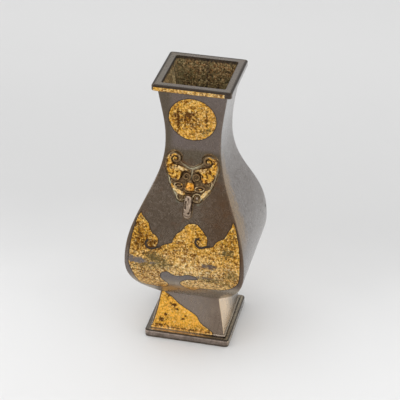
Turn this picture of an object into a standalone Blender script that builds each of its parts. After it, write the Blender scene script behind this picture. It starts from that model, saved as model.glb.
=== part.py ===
"""Square bronze vase with a gilt animal mask on its front and on its back.

The body is one hollow casting: a plinth, a flared foot, a pear-shaped belly, a waisted neck and a flat
lip, all square in plan. Each mask is a casting of its own, fixed to the sloping shoulder.

Metres, +Z up. The origin is the centre of the plinth's underside and the front faces -Y.
"""

import math

import bmesh
import bpy
from mathutils import Matrix, Vector
from mathutils.geometry import interpolate_bezier

# Body: stretches of its height, from the ground up
PLINTH_HEIGHT = 0.0052
BEAD_HEIGHT = 0.0016
FOOT_HEIGHT = 0.0225
BELLY_HEIGHT = 0.0303
SHOULDER_HEIGHT = 0.0737
NECK_HEIGHT = 0.0329
LIP_HEIGHT = 0.0038

# Body: half widths of the square plan
FOOT_HALF = 0.0225
WAIST_HALF = 0.0182
BELLY_HALF = 0.0360
NECK_HALF = 0.0164
COLLAR_HALF = 0.0203

# Body: how far the plinth and the bead stand out from the foot, and the lip from the collar
PLINTH_LEDGE = 0.0036
BEAD_LEDGE = 0.0009
LIP_LEDGE = 0.0030
LIP_WIDTH = 0.0049

# Body: walls and worked edges
WALL = 0.0026
FLOOR = 0.0030
PLINTH_ROUND = 0.0012
LIP_ROUND = 0.0007
ARRIS_ROUND = 0.0005

# Body: how full each curve is, as shares of its stretch that its handles reach
FOOT_SPREAD = 0.49
FOOT_SWEEP = 0.35
FOOT_STRAIGHTNESS = 0.35
FOOT_TAPER = 0.24
HEEL_RISE = 0.27
HEEL_REACH = 0.47
BELLY_FULLNESS = 0.48
SHOULDER_FULLNESS = 0.44
NECK_SLENDERNESS = 0.43
NECK_FLARE = 0.34
NECK_SWEEP = 0.38

# Masks
MASK_WIDTH = 0.0324
MASK_DROP = 0.0260
MASK_GAP = 0.0003

# Facets: steps along the body's curves, and round the mask's volutes, lids and bosses
CURVE_STEPS = 10
ROUND_STEPS = 3
VOLUTE_STEPS = 7
LID_STEPS = 8
BOSS_SIDES = 10
BOSS_RINGS = 6

BRONZE = (0.085, 0.068, 0.055, 1.0)
GILDING = (0.72, 0.46, 0.15, 1.0)

FOOT_BASE = PLINTH_HEIGHT + BEAD_HEIGHT
WAIST_LEVEL = FOOT_BASE + FOOT_HEIGHT
BELLY_LEVEL = WAIST_LEVEL + BELLY_HEIGHT
NECK_LEVEL = BELLY_LEVEL + SHOULDER_HEIGHT
COLLAR_LEVEL = NECK_LEVEL + NECK_HEIGHT
TOP_LEVEL = COLLAR_LEVEL + LIP_HEIGHT
FLOOR_LEVEL = WAIST_LEVEL + FLOOR
PLINTH_HALF = FOOT_HALF + PLINTH_LEDGE
BEAD_HALF = FOOT_HALF + BEAD_LEDGE
LIP_HALF = COLLAR_HALF + LIP_LEDGE
MOUTH_HALF = LIP_HALF - LIP_WIDTH
EYE_LEVEL = NECK_LEVEL - MASK_DROP

# The mask is drawn 32.4 of its own units wide, so that its carving keeps its shares at any size.
UNIT = MASK_WIDTH / 32.4
STRIP = 9.0
WELD = 0.002


# The body's outline. A point is (half width, level).


def curve_points(start, start_handle, end_handle, end, steps=CURVE_STEPS):
    """Points along one smooth stretch of outline, without the first."""
    knots = [Vector((*point, 0.0)) for point in (start, start_handle, end_handle, end)]
    return [(p.x, p.y) for p in interpolate_bezier(*knots, steps + 1)][1:]


def quarter_round(centre, radius, start_angle):
    """Points of a quarter circle, anticlockwise from start_angle in degrees."""
    turns = [math.radians(start_angle + 90 * i / ROUND_STEPS) for i in range(ROUND_STEPS + 1)]
    return [(centre[0] + radius * math.cos(a), centre[1] + radius * math.sin(a)) for a in turns]


def plinth_outline():
    """The plinth's side, from the ground up, with both edges rounded."""
    radius = min(PLINTH_ROUND, 0.45 * PLINTH_HEIGHT)
    lower = quarter_round((PLINTH_HALF - radius, radius), radius, -90)
    upper = quarter_round((PLINTH_HALF - radius, PLINTH_HEIGHT - radius), radius, 0)
    return lower + upper


def bead_outline():
    """The half-round bead between the plinth and the foot, from bottom to top."""
    radius = BEAD_HEIGHT / 2
    centre = (BEAD_HALF - radius, PLINTH_HEIGHT + radius)
    return quarter_round(centre, radius, -90) + quarter_round(centre, radius, 0)[1:]


def foot_outline():
    """The foot's wall, from its base up to the waist."""
    flare = FOOT_HALF - WAIST_HALF
    base = (FOOT_HALF, FOOT_BASE)
    waist = (WAIST_HALF, WAIST_LEVEL)
    base_handle = (FOOT_HALF - flare * FOOT_SWEEP, FOOT_BASE + FOOT_HEIGHT * FOOT_SPREAD)
    waist_handle = (WAIST_HALF + flare * FOOT_TAPER, WAIST_LEVEL - FOOT_HEIGHT * FOOT_STRAIGHTNESS)
    return [base] + curve_points(base, base_handle, waist_handle, waist, CURVE_STEPS // 2)


def upper_outline():
    """The belly, shoulder and neck, from the waist up to the collar under the lip."""
    waist = (WAIST_HALF, WAIST_LEVEL)
    belly = (BELLY_HALF, BELLY_LEVEL)
    neck = (NECK_HALF, NECK_LEVEL)
    collar = (COLLAR_HALF, COLLAR_LEVEL)
    waist_handle = (
        WAIST_HALF + (BELLY_HALF - WAIST_HALF) * HEEL_REACH,
        WAIST_LEVEL + BELLY_HEIGHT * HEEL_RISE,
    )
    collar_handle = (
        COLLAR_HALF - (COLLAR_HALF - NECK_HALF) * NECK_SWEEP,
        COLLAR_LEVEL - NECK_HEIGHT * NECK_FLARE,
    )
    below_belly = (BELLY_HALF, BELLY_LEVEL - BELLY_HEIGHT * BELLY_FULLNESS)
    above_belly = (BELLY_HALF, BELLY_LEVEL + SHOULDER_HEIGHT * SHOULDER_FULLNESS)
    below_neck = (NECK_HALF, NECK_LEVEL - SHOULDER_HEIGHT * NECK_SLENDERNESS)
    above_neck = (NECK_HALF, NECK_LEVEL + NECK_HEIGHT * NECK_FLARE)
    points = [waist]
    points += curve_points(waist, waist_handle, below_belly, belly)
    points += curve_points(belly, above_belly, below_neck, neck, 2 * CURVE_STEPS)
    points += curve_points(neck, above_neck, collar_handle, collar, CURVE_STEPS // 2)
    return points


def outward_normal(points, i):
    """The direction square to a rising outline at one of its points, away from the axis."""
    before = points[max(i - 1, 0)]
    after = points[min(i + 1, len(points) - 1)]
    return Vector((after[1] - before[1], before[0] - after[0])).normalized()


def offset_inwards(points, distance):
    """The outline moved into the wall, square to its own direction at each point."""
    moved = []
    for i, (half, level) in enumerate(points):
        normal = outward_normal(points, i)
        moved.append((half - distance * normal.x, level - distance * normal.y))
    return moved


def wall_at(points, level):
    """Where a rising outline reaches this level: the half width and the outward direction there."""
    for i, (lower, upper) in enumerate(zip(points, points[1:])):
        if lower[1] <= level <= upper[1]:
            share = (level - lower[1]) / (upper[1] - lower[1])
            half = lower[0] + (upper[0] - lower[0]) * share
            return half, outward_normal(points, i).lerp(outward_normal(points, i + 1), share)
    raise ValueError(f"the outline doesn't reach {level}")


def cavity_outline():
    """The inside of the vase, from the edge of its floor up to the mouth."""
    wall = offset_inwards(upper_outline(), WALL)
    floor_half, _ = wall_at(wall, FLOOR_LEVEL)
    sides = [point for point in wall if FLOOR_LEVEL < point[1] < COLLAR_LEVEL]
    return [(floor_half, FLOOR_LEVEL)] + sides + [(MOUTH_HALF, TOP_LEVEL)]


def foot_hollow_outline():
    """The hollow under the foot, from the ground up to the underside of the vase's floor."""
    wall = offset_inwards(foot_outline(), WALL)
    sides = [point for point in wall if FOOT_BASE < point[1] < WAIST_LEVEL]
    return [(FOOT_HALF - WALL, 0.0)] + sides + [(WAIST_HALF - WALL, WAIST_LEVEL)]


def section_outline():
    """Half of the vase's section: up inside, over the lip, down outside and up under the foot."""
    inside = [(0.0, FLOOR_LEVEL)] + cavity_outline()
    outside = plinth_outline() + bead_outline() + foot_outline() + upper_outline()[1:]
    outside += [(LIP_HALF, COLLAR_LEVEL)]
    radius = min(LIP_ROUND, 0.45 * LIP_HEIGHT)
    outside += quarter_round((LIP_HALF - radius, TOP_LEVEL - radius), radius, 0)
    under = foot_hollow_outline() + [(0.0, WAIST_LEVEL)]
    return inside + outside[::-1] + under


# Making and joining pieces.


def make_collection(name):
    collection = bpy.data.collections.new(name)
    bpy.context.scene.collection.children.link(collection)
    return collection


def make_object(name, data, collection):
    made = bpy.data.objects.new(name, data)
    collection.objects.link(made)
    return made


def make_material(name, colour, roughness):
    material = bpy.data.materials.new(name)
    material.use_nodes = True
    shader = material.node_tree.nodes["Principled BSDF"]
    shader.inputs["Base Color"].default_value = colour
    shader.inputs["Roughness"].default_value = roughness
    shader.inputs["Metallic"].default_value = 1.0
    return material


def finished_mesh(source):
    """The mesh that an object shows with its modifiers applied; the object itself is removed."""
    bpy.context.view_layer.update()
    graph = bpy.context.evaluated_depsgraph_get()
    mesh = bpy.data.meshes.new_from_object(source.evaluated_get(graph))
    bpy.data.objects.remove(source)
    return mesh


def edit_mesh(mesh, change):
    """Run one change on the mesh in edit form."""
    work = bmesh.new()
    work.from_mesh(mesh)
    change(work)
    work.to_mesh(mesh)
    work.free()


def shade(mesh, material):
    mesh.materials.clear()
    mesh.materials.append(material)
    mesh.shade_smooth()
    mesh.set_sharp_from_angle(angle=math.radians(35))


# The body.


def mark_arrises(mesh):
    """Give full bevel weight to the edges that run along the four corners of the square."""
    weights = mesh.attributes.new("bevel_weight_edge", "FLOAT", "EDGE")
    for edge in mesh.edges:
        start, end = (mesh.vertices[i].co for i in edge.vertices)
        weights.data[edge.index].value = float(start.x * end.x > 0 and start.y * end.y > 0)


def make_body(collection, material):
    """The section, carried round four corners, with its arrises rounded."""
    line = section_outline()
    section = bpy.data.meshes.new("section")
    section.from_pydata(
        [(half, half, level) for half, level in line], [(i, i + 1) for i in range(len(line) - 1)], []
    )
    turned = make_object("section", section, collection)
    screw = turned.modifiers.new("four_sides", "SCREW")
    screw.steps = 4
    screw.render_steps = 4
    screw.use_merge_vertices = True
    screw.merge_threshold = 0.00005
    mesh = finished_mesh(turned)
    mesh.name = "vase_body"
    mark_arrises(mesh)
    shade(mesh, material)
    body = make_object("vase_body", mesh, collection)
    bevel = body.modifiers.new("arrises", "BEVEL")
    bevel.limit_method = "WEIGHT"
    bevel.width = ARRIS_ROUND
    bevel.segments = 1
    bevel.use_clamp_overlap = False
    return body


# The mask's forms. They are drawn flat, in units: x across, y up from the eyes, z out from the wall.
# Only the half at +x is drawn.


def weld(mesh):
    edit_mesh(mesh, lambda work: bmesh.ops.remove_doubles(work, verts=work.verts, dist=WELD / 20))


def bezier_curve(name, knots, radii, closed):
    """A smooth curve that passes through its knots."""
    curve = bpy.data.curves.new(name, "CURVE")
    curve.resolution_u = 2
    spline = curve.splines.new("BEZIER")
    spline.bezier_points.add(len(knots) - 1)
    for point, knot, radius in zip(spline.bezier_points, knots, radii):
        point.co = knot
        point.radius = radius
        point.handle_left_type = "AUTO"
        point.handle_right_type = "AUTO"
    spline.use_cyclic_u = closed
    return curve


def leaf(name, knots, top, rim, collection):
    """A flat raised form with a rounded rim, filling a closed outline."""
    curve = bezier_curve(name, [(x, y, 0.0) for x, y in knots], [1.0] * len(knots), True)
    curve.dimensions = "2D"
    curve.fill_mode = "BOTH"
    curve.extrude = top - rim
    curve.bevel_depth = rim
    curve.bevel_resolution = 1
    mesh = finished_mesh(make_object(name, curve, collection))
    weld(mesh)
    return make_object(name, mesh, collection)


def ridge(name, knots, collection, closed=False, widen=1.0):
    """A round ridge whose knots are (x, y, z, radius)."""
    curve = bezier_curve(name, [knot[:3] for knot in knots], [knot[3] for knot in knots], closed)
    curve.dimensions = "3D"
    curve.bevel_depth = 1.0
    curve.bevel_resolution = 1
    curve.use_fill_caps = not closed
    mesh = finished_mesh(make_object(name, curve, collection))
    weld(mesh)
    for vertex in mesh.vertices:
        vertex.co.x *= widen
    return make_object(name, mesh, collection)


def volute(name, centre, radii, thickness, start_angle, turns, height, collection):
    """A ridge that winds in to its centre; negative turns wind clockwise."""
    count = round(abs(turns) * VOLUTE_STEPS)
    knots = []
    for i in range(count + 1):
        share = i / count
        angle = math.radians(start_angle + 360 * turns * share)
        reach = radii[0] + (radii[1] - radii[0]) * share
        girth = thickness[0] + (thickness[1] - thickness[0]) * share
        knots.append(
            (centre[0] + reach * math.cos(angle), centre[1] + reach * math.sin(angle), height, girth)
        )
    return ridge(name, knots, collection)


def boss(name, centre, radii, collection):
    """A rounded bump."""
    mesh = bpy.data.meshes.new(name)

    def fill(work):
        bmesh.ops.create_uvsphere(work, u_segments=BOSS_SIDES, v_segments=BOSS_RINGS, radius=1.0)
        bmesh.ops.scale(work, vec=radii, verts=work.verts)
        bmesh.ops.translate(work, vec=centre, verts=work.verts)

    edit_mesh(mesh, fill)
    return make_object(name, mesh, collection)


def box(name, low, high, collection):
    """A block between two corners."""
    mesh = bpy.data.meshes.new(name)
    size = Vector(high) - Vector(low)

    def fill(work):
        bmesh.ops.create_cube(work, size=1.0)
        bmesh.ops.scale(work, vec=size, verts=work.verts)
        bmesh.ops.translate(work, vec=Vector(low) + size / 2, verts=work.verts)

    edit_mesh(mesh, fill)
    return make_object(name, mesh, collection)


def lids(name, centre, radii, tilt, height, girth, collection):
    """A closed oval ridge round the eyeball, tilted by so many degrees."""
    lean = Matrix.Rotation(math.radians(tilt), 2)
    knots = []
    for i in range(LID_STEPS):
        turn = math.radians(360 * i / LID_STEPS)
        x, y = Vector(centre) + lean @ Vector((radii[0] * math.cos(turn), radii[1] * math.sin(turn)))
        knots.append((x, y, height, girth))
    return ridge(name, knots, collection, closed=True)


def draw_plate(collection):
    """The thin ground of the mask, notched between the horns."""
    knots = [
        (-1.6, 10.6), (0.8, 10.7), (5.4, 13.4), (5.6, 17.0), (8.4, 19.2), (12.0, 18.8),
        (15.2, 15.0), (15.8, 10.6), (13.4, 4.8), (12.8, 1.4), (10.8, -3.6), (8.4, -6.6),
        (5.2, -7.9), (2.2, -7.4), (-1.6, -7.2),
    ]
    return leaf("plate", knots, 1.0, 0.3, collection)


def draw_forms(collection):
    """Everything that stands on the plate."""
    horn = [
        (2.2, 8.9), (5.0, 10.2), (10.0, 11.2), (11.8, 13.0), (12.0, 15.4), (11.8, 17.3), (12.9, 17.2),
        (14.4, 14.8), (14.8, 11.6), (13.6, 7.8), (11.8, 5.0), (9.0, 4.0), (8.1, 6.2), (6.2, 8.5),
    ]
    leaf("horn", horn, 2.4, 0.6, collection)
    volute("horn_curl", (8.9, 15.3), (3.9, 0.8), (1.1, 0.6), -20, 1.35, 1.4, collection)
    volute("brow_scroll", (4.2, 5.3), (2.7, 0.8), (0.7, 0.5), 225, -1.3, 1.6, collection)
    boss("brow_scroll_eye", (4.2, 5.3, 0.8), (2.5, 2.5, 1.4), collection)
    lids("lids", (6.2, 0.1), (3.1, 1.9), 12, 1.4, 0.5, collection)
    boss("eyeball", (6.1, 0.0, 0.9), (2.1, 1.4, 1.6), collection)
    ridge("nose_bridge", [(0, 9.8, 0.5, 0.5), (0, 5.6, 0.9, 0.7), (0, 3.0, 1.1, 1.0)], collection)
    ridge("nose", [(0, 3.2, 1.0, 1.0), (0, 1.0, 1.6, 1.4), (0, -1.3, 1.9, 1.8)], collection, widen=1.35)
    boss("nostrils", (0.0, -1.8, 1.0), (3.2, 1.2, 2.3), collection)
    ridge("lip", [(-1.6, -3.3, 1.3, 0.5), (1.6, -3.3, 1.3, 0.5), (3.9, -2.4, 1.1, 0.5)], collection)
    ridge("cheekbone", [(3.6, -2.6, 1.0, 0.5), (5.6, -2.9, 0.9, 0.5), (8.2, -2.2, 0.9, 0.7)], collection)
    cheek = [(7.2, -2.2), (8.8, -0.8), (10.3, 0.8), (11.0, -0.9), (10.2, -3.6), (8.7, -5.5), (8.2, -3.8)]
    leaf("cheek", cheek, 1.8, 0.3, collection)
    volute("jaw_ring", (5.2, -5.9), (2.1, 2.1), (0.4, 0.4), -60, 0.8, 1.1, collection)
    boss("jaw_boss", (5.2, -6.0, 0.8), (1.4, 1.4, 1.4), collection)
    boss("ear", (12.1, 1.5, 0.7), (1.0, 1.4, 1.3), collection)
    loop = [(0, -5.6, 0.9, 1.1), (0, -7.8, 2.4, 1.1), (0, -10.6, 3.1, 1.1), (0, -13.4, 2.4, 1.1)]
    ridge("loop", loop + [(0, -15.2, 0.8, 1.2)], collection, widen=1.9)
    boss("loop_end", (0.0, -14.8, 0.8), (2.5, 1.8, 1.4), collection)


def draw_cuts(collection):
    """What is cut away: the seat against the wall and the hollow of the mouth."""
    box("seat", (-30, -30, -10), (30, 30, MASK_GAP / UNIT), collection)
    boss("mouth", (0.0, -4.7, 1.3), (2.6, 0.8, 0.9), collection)


def join(target, operation, tools):
    """Join or cut the target with everything in a collection."""
    modifier = target.modifiers.new(operation.lower(), "BOOLEAN")
    modifier.operation = operation
    modifier.solver = "EXACT"
    modifier.operand_type = "COLLECTION"
    modifier.collection = tools


def flat_mask(collection):
    """Both halves of the mask as one closed mesh, still flat and in units."""
    forms = make_collection("mask_forms")
    cutters = make_collection("cutters")
    plate = draw_plate(collection)
    draw_forms(forms)
    draw_cuts(cutters)
    join(plate, "UNION", forms)
    join(plate, "DIFFERENCE", cutters)
    mirror = plate.modifiers.new("halves", "MIRROR")
    mirror.use_bisect_axis[0] = True
    mirror.merge_threshold = 0.0001
    mesh = finished_mesh(plate)
    for tools in (forms, cutters):
        for tool in list(tools.objects):
            bpy.data.objects.remove(tool)
        bpy.data.collections.remove(tools)
    return mesh


def cut_into_strips(work):
    """Cut the mask across at even steps, so that it can bend with the wall, and make it triangles."""
    bmesh.ops.remove_doubles(work, verts=work.verts, dist=WELD)
    bmesh.ops.dissolve_limit(work, angle_limit=math.radians(4), verts=work.verts, edges=work.edges)
    bmesh.ops.triangulate(work, faces=work.faces)
    lowest = min(vertex.co.y for vertex in work.verts)
    highest = max(vertex.co.y for vertex in work.verts)
    for i in range(1, math.ceil((highest - lowest) / STRIP)):
        bmesh.ops.bisect_plane(
            work,
            geom=work.verts[:] + work.edges[:] + work.faces[:],
            dist=0.0001,
            plane_co=(0, lowest + i * STRIP, 0),
            plane_no=(0, 1, 0),
        )
    bmesh.ops.triangulate(work, faces=work.faces)
    bmesh.ops.dissolve_degenerate(work, dist=WELD / 2, edges=work.edges)
    bmesh.ops.triangulate(work, faces=work.faces)


def drape_on_wall(mesh):
    """Bring the flat mask to its real size and lay it on the front wall."""
    outline = upper_outline()
    for vertex in mesh.vertices:
        x, y, z = vertex.co * UNIT
        half, normal = wall_at(outline, EYE_LEVEL + y)
        vertex.co = (x, -half - z * normal.x, EYE_LEVEL + y + z * normal.y)


def make_masks(collection, material):
    """The front mask, and the same casting turned to the back."""
    mesh = flat_mask(collection)
    mesh.name = "mask"
    edit_mesh(mesh, cut_into_strips)
    drape_on_wall(mesh)
    shade(mesh, material)
    make_object("front_mask", mesh, collection)
    back = make_object("back_mask", mesh, collection)
    back.rotation_euler.z = math.pi


def main():
    for leftover in list(bpy.data.objects):
        bpy.data.objects.remove(leftover)
    vase = make_collection("gilt_bronze_square_vase")
    make_body(vase, make_material("bronze", BRONZE, 0.45))
    make_masks(vase, make_material("gilding", GILDING, 0.35))


main()
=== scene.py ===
import math

import bpy
import numpy as np
from bpy.props import FloatProperty, FloatVectorProperty, IntProperty, PointerProperty
from mathutils import Matrix, Vector
from mathutils.geometry import interpolate_bezier


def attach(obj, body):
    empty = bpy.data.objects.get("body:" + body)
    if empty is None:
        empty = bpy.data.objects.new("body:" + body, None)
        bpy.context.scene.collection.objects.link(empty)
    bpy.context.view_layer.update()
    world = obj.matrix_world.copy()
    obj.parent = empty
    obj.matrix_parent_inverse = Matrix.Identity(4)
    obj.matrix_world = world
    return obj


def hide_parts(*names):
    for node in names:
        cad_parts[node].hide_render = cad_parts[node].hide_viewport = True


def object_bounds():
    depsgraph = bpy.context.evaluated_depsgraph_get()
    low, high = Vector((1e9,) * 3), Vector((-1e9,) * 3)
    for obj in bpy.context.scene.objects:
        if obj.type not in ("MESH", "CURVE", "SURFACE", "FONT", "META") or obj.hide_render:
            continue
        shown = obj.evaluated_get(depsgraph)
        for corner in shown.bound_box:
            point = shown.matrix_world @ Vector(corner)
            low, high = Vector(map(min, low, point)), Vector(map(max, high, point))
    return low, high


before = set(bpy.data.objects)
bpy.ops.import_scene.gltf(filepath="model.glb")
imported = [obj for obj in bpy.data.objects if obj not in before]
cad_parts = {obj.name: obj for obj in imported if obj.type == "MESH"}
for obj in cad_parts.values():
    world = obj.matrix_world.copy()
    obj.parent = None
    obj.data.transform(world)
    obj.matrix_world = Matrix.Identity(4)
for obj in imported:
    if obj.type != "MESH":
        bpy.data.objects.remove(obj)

bl_info = {
    "name": "Gilt bronze square vase",
    "version": (1, 0, 0),
    "blender": (4, 5, 0),
    "location": "3D View > Sidebar > Vase",
    "description": "Dresses the packed vase: its worn bronze body, two gilt animal masks and a studio",
    "category": "Object",
}

# The box round the imported parts; the belly's half width and the top are read from it.
# The visual model never leaves this box.
CAD_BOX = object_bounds()
MM = 0.001

# The body's outline, as in the solids: stretches of its height, half widths and the fullness of its curves
PLINTH_HEIGHT = 0.0052
BEAD_HEIGHT = 0.0016
FOOT_HEIGHT = 0.0225
BELLY_HEIGHT = 0.0303
SHOULDER_HEIGHT = 0.0737
NECK_HEIGHT = 0.0329
FOOT_HALF = 0.0225
WAIST_HALF = 0.0182
BELLY_HALF = CAD_BOX[1].x
NECK_HALF = 0.0164
COLLAR_HALF = 0.0203
PLINTH_LEDGE = 0.0036
BEAD_LEDGE = 0.0009
LIP_LEDGE = 0.0030
LIP_WIDTH = 0.0049
WALL = 0.0026
FLOOR = 0.0030
FOOT_SPREAD = 0.49
FOOT_SWEEP = 0.35
FOOT_STRAIGHTNESS = 0.35
FOOT_TAPER = 0.24
HEEL_RISE = 0.27
HEEL_REACH = 0.47
BELLY_FULLNESS = 0.48
SHOULDER_FULLNESS = 0.44
NECK_SLENDERNESS = 0.43
NECK_FLARE = 0.34
NECK_SWEEP = 0.38

FOOT_BASE = PLINTH_HEIGHT + BEAD_HEIGHT
WAIST_LEVEL = FOOT_BASE + FOOT_HEIGHT
BELLY_LEVEL = WAIST_LEVEL + BELLY_HEIGHT
NECK_LEVEL = BELLY_LEVEL + SHOULDER_HEIGHT
COLLAR_LEVEL = NECK_LEVEL + NECK_HEIGHT
TOP_LEVEL = CAD_BOX[1].z
FLOOR_LEVEL = WAIST_LEVEL + FLOOR
PLINTH_HALF = FOOT_HALF + PLINTH_LEDGE
BEAD_HALF = FOOT_HALF + BEAD_LEDGE
LIP_HALF = COLLAR_HALF + LIP_LEDGE
MOUTH_HALF = LIP_HALF - LIP_WIDTH

# The masks: the level of the eyes, how far the solder sinks into the wall, and how wide it spreads (mm)
EYE_LEVEL = NECK_LEVEL - 0.0260
MASK_SINK = 0.15
SKIRT = 0.9

# Gilding on the front, in millimetres: across from the middle, and up from the ground
WAVES = [
    (-27.4, 89.8), (-26.5, 88.4), (-22.6, 84.8), (-21.6, 82.3), (-19.7, 79.0), (-17.6, 78.0), (-16.0, 76.0),
    (-16.0, 73.7), (-16.7, 72.0), (-15.1, 70.9), (-12.9, 72.6), (-9.5, 74.0), (-7.6, 74.8), (-6.8, 77.5),
    (-4.9, 80.4), (-2.0, 82.9), (-0.2, 85.4), (2.2, 86.9), (6.0, 86.9), (8.2, 85.4), (10.7, 83.0),
    (12.9, 80.3), (13.2, 77.9), (12.9, 76.1), (14.1, 74.9), (16.4, 75.3), (17.4, 76.2), (18.7, 78.3),
    (20.6, 79.7), (23.0, 80.9), (24.0, 82.6), (25.3, 85.3), (26.8, 87.7), (27.4, 90.3), (29.1, 87.2),
    (30.5, 82.8), (32.0, 77.3), (33.0, 69.8), (33.3, 62.0), (33.0, 55.8), (31.9, 52.5), (28.3, 48.4),
    (23.6, 45.8), (18.8, 44.7), (10.3, 43.9), (7.1, 42.2), (4.1, 40.8), (0.9, 42.3), (-2.3, 45.3),
    (-2.5, 47.3), (-0.4, 49.6), (2.9, 51.0), (6.5, 51.5), (8.5, 52.3), (7.2, 53.9), (3.8, 54.8),
    (1.5, 54.8), (-0.8, 53.9), (-4.7, 53.1), (-7.4, 53.8), (-9.3, 55.3), (-11.2, 55.3), (-13.4, 54.2),
    (-14.5, 52.0), (-14.2, 49.3), (-12.6, 47.4), (-10.9, 45.6), (-10.4, 43.5), (-11.3, 41.2), (-13.4, 39.8),
    (-17.6, 39.2), (-23.6, 39.9), (-27.3, 41.6), (-29.1, 45.6), (-30.7, 50.2), (-32.4, 55.4), (-33.4, 60.5),
    (-32.9, 66.3), (-32.1, 72.2), (-31.3, 78.1), (-30.1, 82.7), (-29.3, 86.1),
]
HOOKS = [
    [(-14.9, 71.7), (-17.1, 70.5), (-20.1, 69.6), (-22.4, 70.7), (-23.2, 72.8), (-22.2, 74.7)],
    [(14.7, 75.3), (12.1, 74.8), (9.5, 73.9), (7.5, 74.8), (6.3, 76.7), (6.7, 78.5), (8.1, 79.1)],
]
HOOK_WIDTH = 1.35
DISC_CENTRE = (-0.2, 148.2)
DISC_RADIUS = 13.8
LIP_BAND = [(-22.2, 166.2), (19.6, 166.2), (19.2, 168.9), (-22.0, 168.9)]
FOOT_SLOPE = [
    (-17.2, 29.2), (-18.6, 20.8), (-20.1, 14.0), (-21.5, 8.8), (-22.0, 5.0), (-10.6, 5.2), (3.4, 5.0),
    (15.4, 5.8), (12.3, 9.2), (9.7, 10.6), (6.9, 13.1), (5.2, 16.1), (3.0, 17.6), (-0.4, 19.5),
    (-3.8, 21.2), (-8.1, 24.0), (-10.6, 26.2), (-15.0, 28.8),
]

# Plainer gilding on the back, in the same manner: half of a bank of clouds, mirrored
BACK_WAVES = [
    (0.0, 86.0), (4.6, 85.0), (8.4, 81.4), (10.6, 77.6), (14.8, 75.6), (19.6, 78.4), (23.6, 83.4),
    (27.4, 89.6), (30.2, 84.6), (32.6, 74.6), (33.4, 62.0), (31.6, 50.6), (25.8, 45.0), (16.0, 43.0),
    (7.6, 44.6), (0.0, 47.4),
]

# Places on the front's gilding where it is worn, stained, thickly speckled, pale or fresh:
# across, up, reach across, reach up, strength
FRONT_PLACES = {
    "wear": [
        (-29.0, 61.4, 7.5, 2.4, 1.25), (-33.0, 67.0, 2.0, 9.0, 0.4), (16.6, 62.8, 10.0, 2.2, 1.05),
        (-1.8, 152.0, 3.6, 1.8, 0.6), (13.4, 54.2, 10.5, 1.8, 0.75), (7.6, 42.2, 9.0, 1.0, 0.45),
        (-18.0, 59.4, 7.0, 2.6, 0.45), (27.0, 59.0, 6.0, 2.2, 0.4), (-27.0, 43.0, 5.0, 2.0, 0.4),
        (24.0, 66.0, 3.0, 1.5, 0.5), (20.0, 167.6, 2.0, 3.0, 0.8),
    ],
    "stains": [
        (-19.1, 64.8, 6.5, 3.6, 1.0), (-11.4, 60.4, 8.0, 4.0, 0.8), (25.1, 72.4, 5.2, 3.6, 1.0),
        (28.6, 58.3, 6.0, 4.2, 0.9), (14.7, 53.2, 9.0, 2.6, 0.9), (-24.3, 58.0, 8.0, 3.0, 0.8),
        (6.4, 140.4, 3.0, 2.6, 0.9), (-7.0, 147.1, 1.4, 8.0, 0.5), (-7.4, 17.9, 4.0, 2.4, 0.5),
        (-27.5, 80.1, 2.4, 5.0, 0.4), (28.5, 81.8, 2.2, 4.0, 0.6), (-2.0, 7.0, 18.0, 1.0, 0.6),
        (9.4, 142.0, 1.0, 1.6, 0.9), (26.0, 50.0, 7.0, 3.0, 0.6),
    ],
    "crowding": [
        (-27.0, 76.0, 6.5, 13.0, 0.75), (27.5, 76.0, 5.0, 11.0, 0.7), (10.5, 78.0, 4.0, 4.0, 0.6),
        (-19.0, 72.0, 5.0, 5.0, 0.4), (-4.0, 70.0, 20.0, 7.0, 0.55), (-20.0, 52.0, 12.0, 7.0, 0.55),
        (20.0, 55.0, 12.0, 6.0, 0.55), (-2.2, 151.4, 3.6, 1.8, 1.7), (-2.0, 147.0, 7.0, 4.6, 1.15),
        (-8.6, 148.0, 0.7, 9.0, 1.6), (8.2, 148.6, 0.5, 10.0, 1.8), (-11.0, 150.0, 2.0, 5.0, 0.5),
        (-14.0, 14.8, 1.2, 0.9, 4.0), (-16.4, 11.2, 2.4, 1.4, 2.4), (-9.0, 21.6, 1.5, 1.0, 3.4),
        (-7.4, 18.8, 1.1, 0.8, 3.4), (-3.4, 13.4, 1.2, 0.8, 3.0), (-13.0, 26.8, 2.4, 1.3, 1.8),
        (-1.6, 15.6, 0.9, 0.7, 3.0), (-11.6, 22.4, 0.9, 0.7, 3.0), (-4.0, 7.2, 18.0, 0.9, 1.3),
        (0.0, 167.7, 24.0, 2.4, 0.3), (-17.0, 7.6, 4.0, 0.8, 1.6),
    ],
    "paleness": [
        (0.0, 54.0, 40.0, 15.0, 1.0), (12.0, 46.0, 14.0, 5.0, 0.30), (-1.0, 80.0, 5.0, 5.0, 0.15),
        (12.0, 167.0, 12.0, 3.0, 0.7), (-8.0, 167.0, 12.0, 3.0, 0.5), (5.0, 147.0, 8.0, 12.0, 0.30),
        (-4.0, 5.8, 24.0, 1.3, 1.2),
    ],
    "freshness": [(-8.0, 17.0, 26.0, 12.0, 1.5), (1.0, 81.0, 4.0, 4.0, 0.45)],
}
# The same everywhere on the body, the wear of the back, and a depth that stands for nowhere near
EVEN_CROWDING = 0.25
EVEN_PALENESS = 0.05
BACK_WEAR = 0.25
FAR_OUTSIDE = -9.0

# Casting pits on the right side: the place, its radius and its strength
SIDE_PITS = [((0.0355, 0.0319, 0.0687), 0.0012, 1.0), ((0.0353, 0.0190, 0.0728), 0.0010, 0.5)]


# Writing node trees. Arithmetic on a field adds Math nodes.


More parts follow.
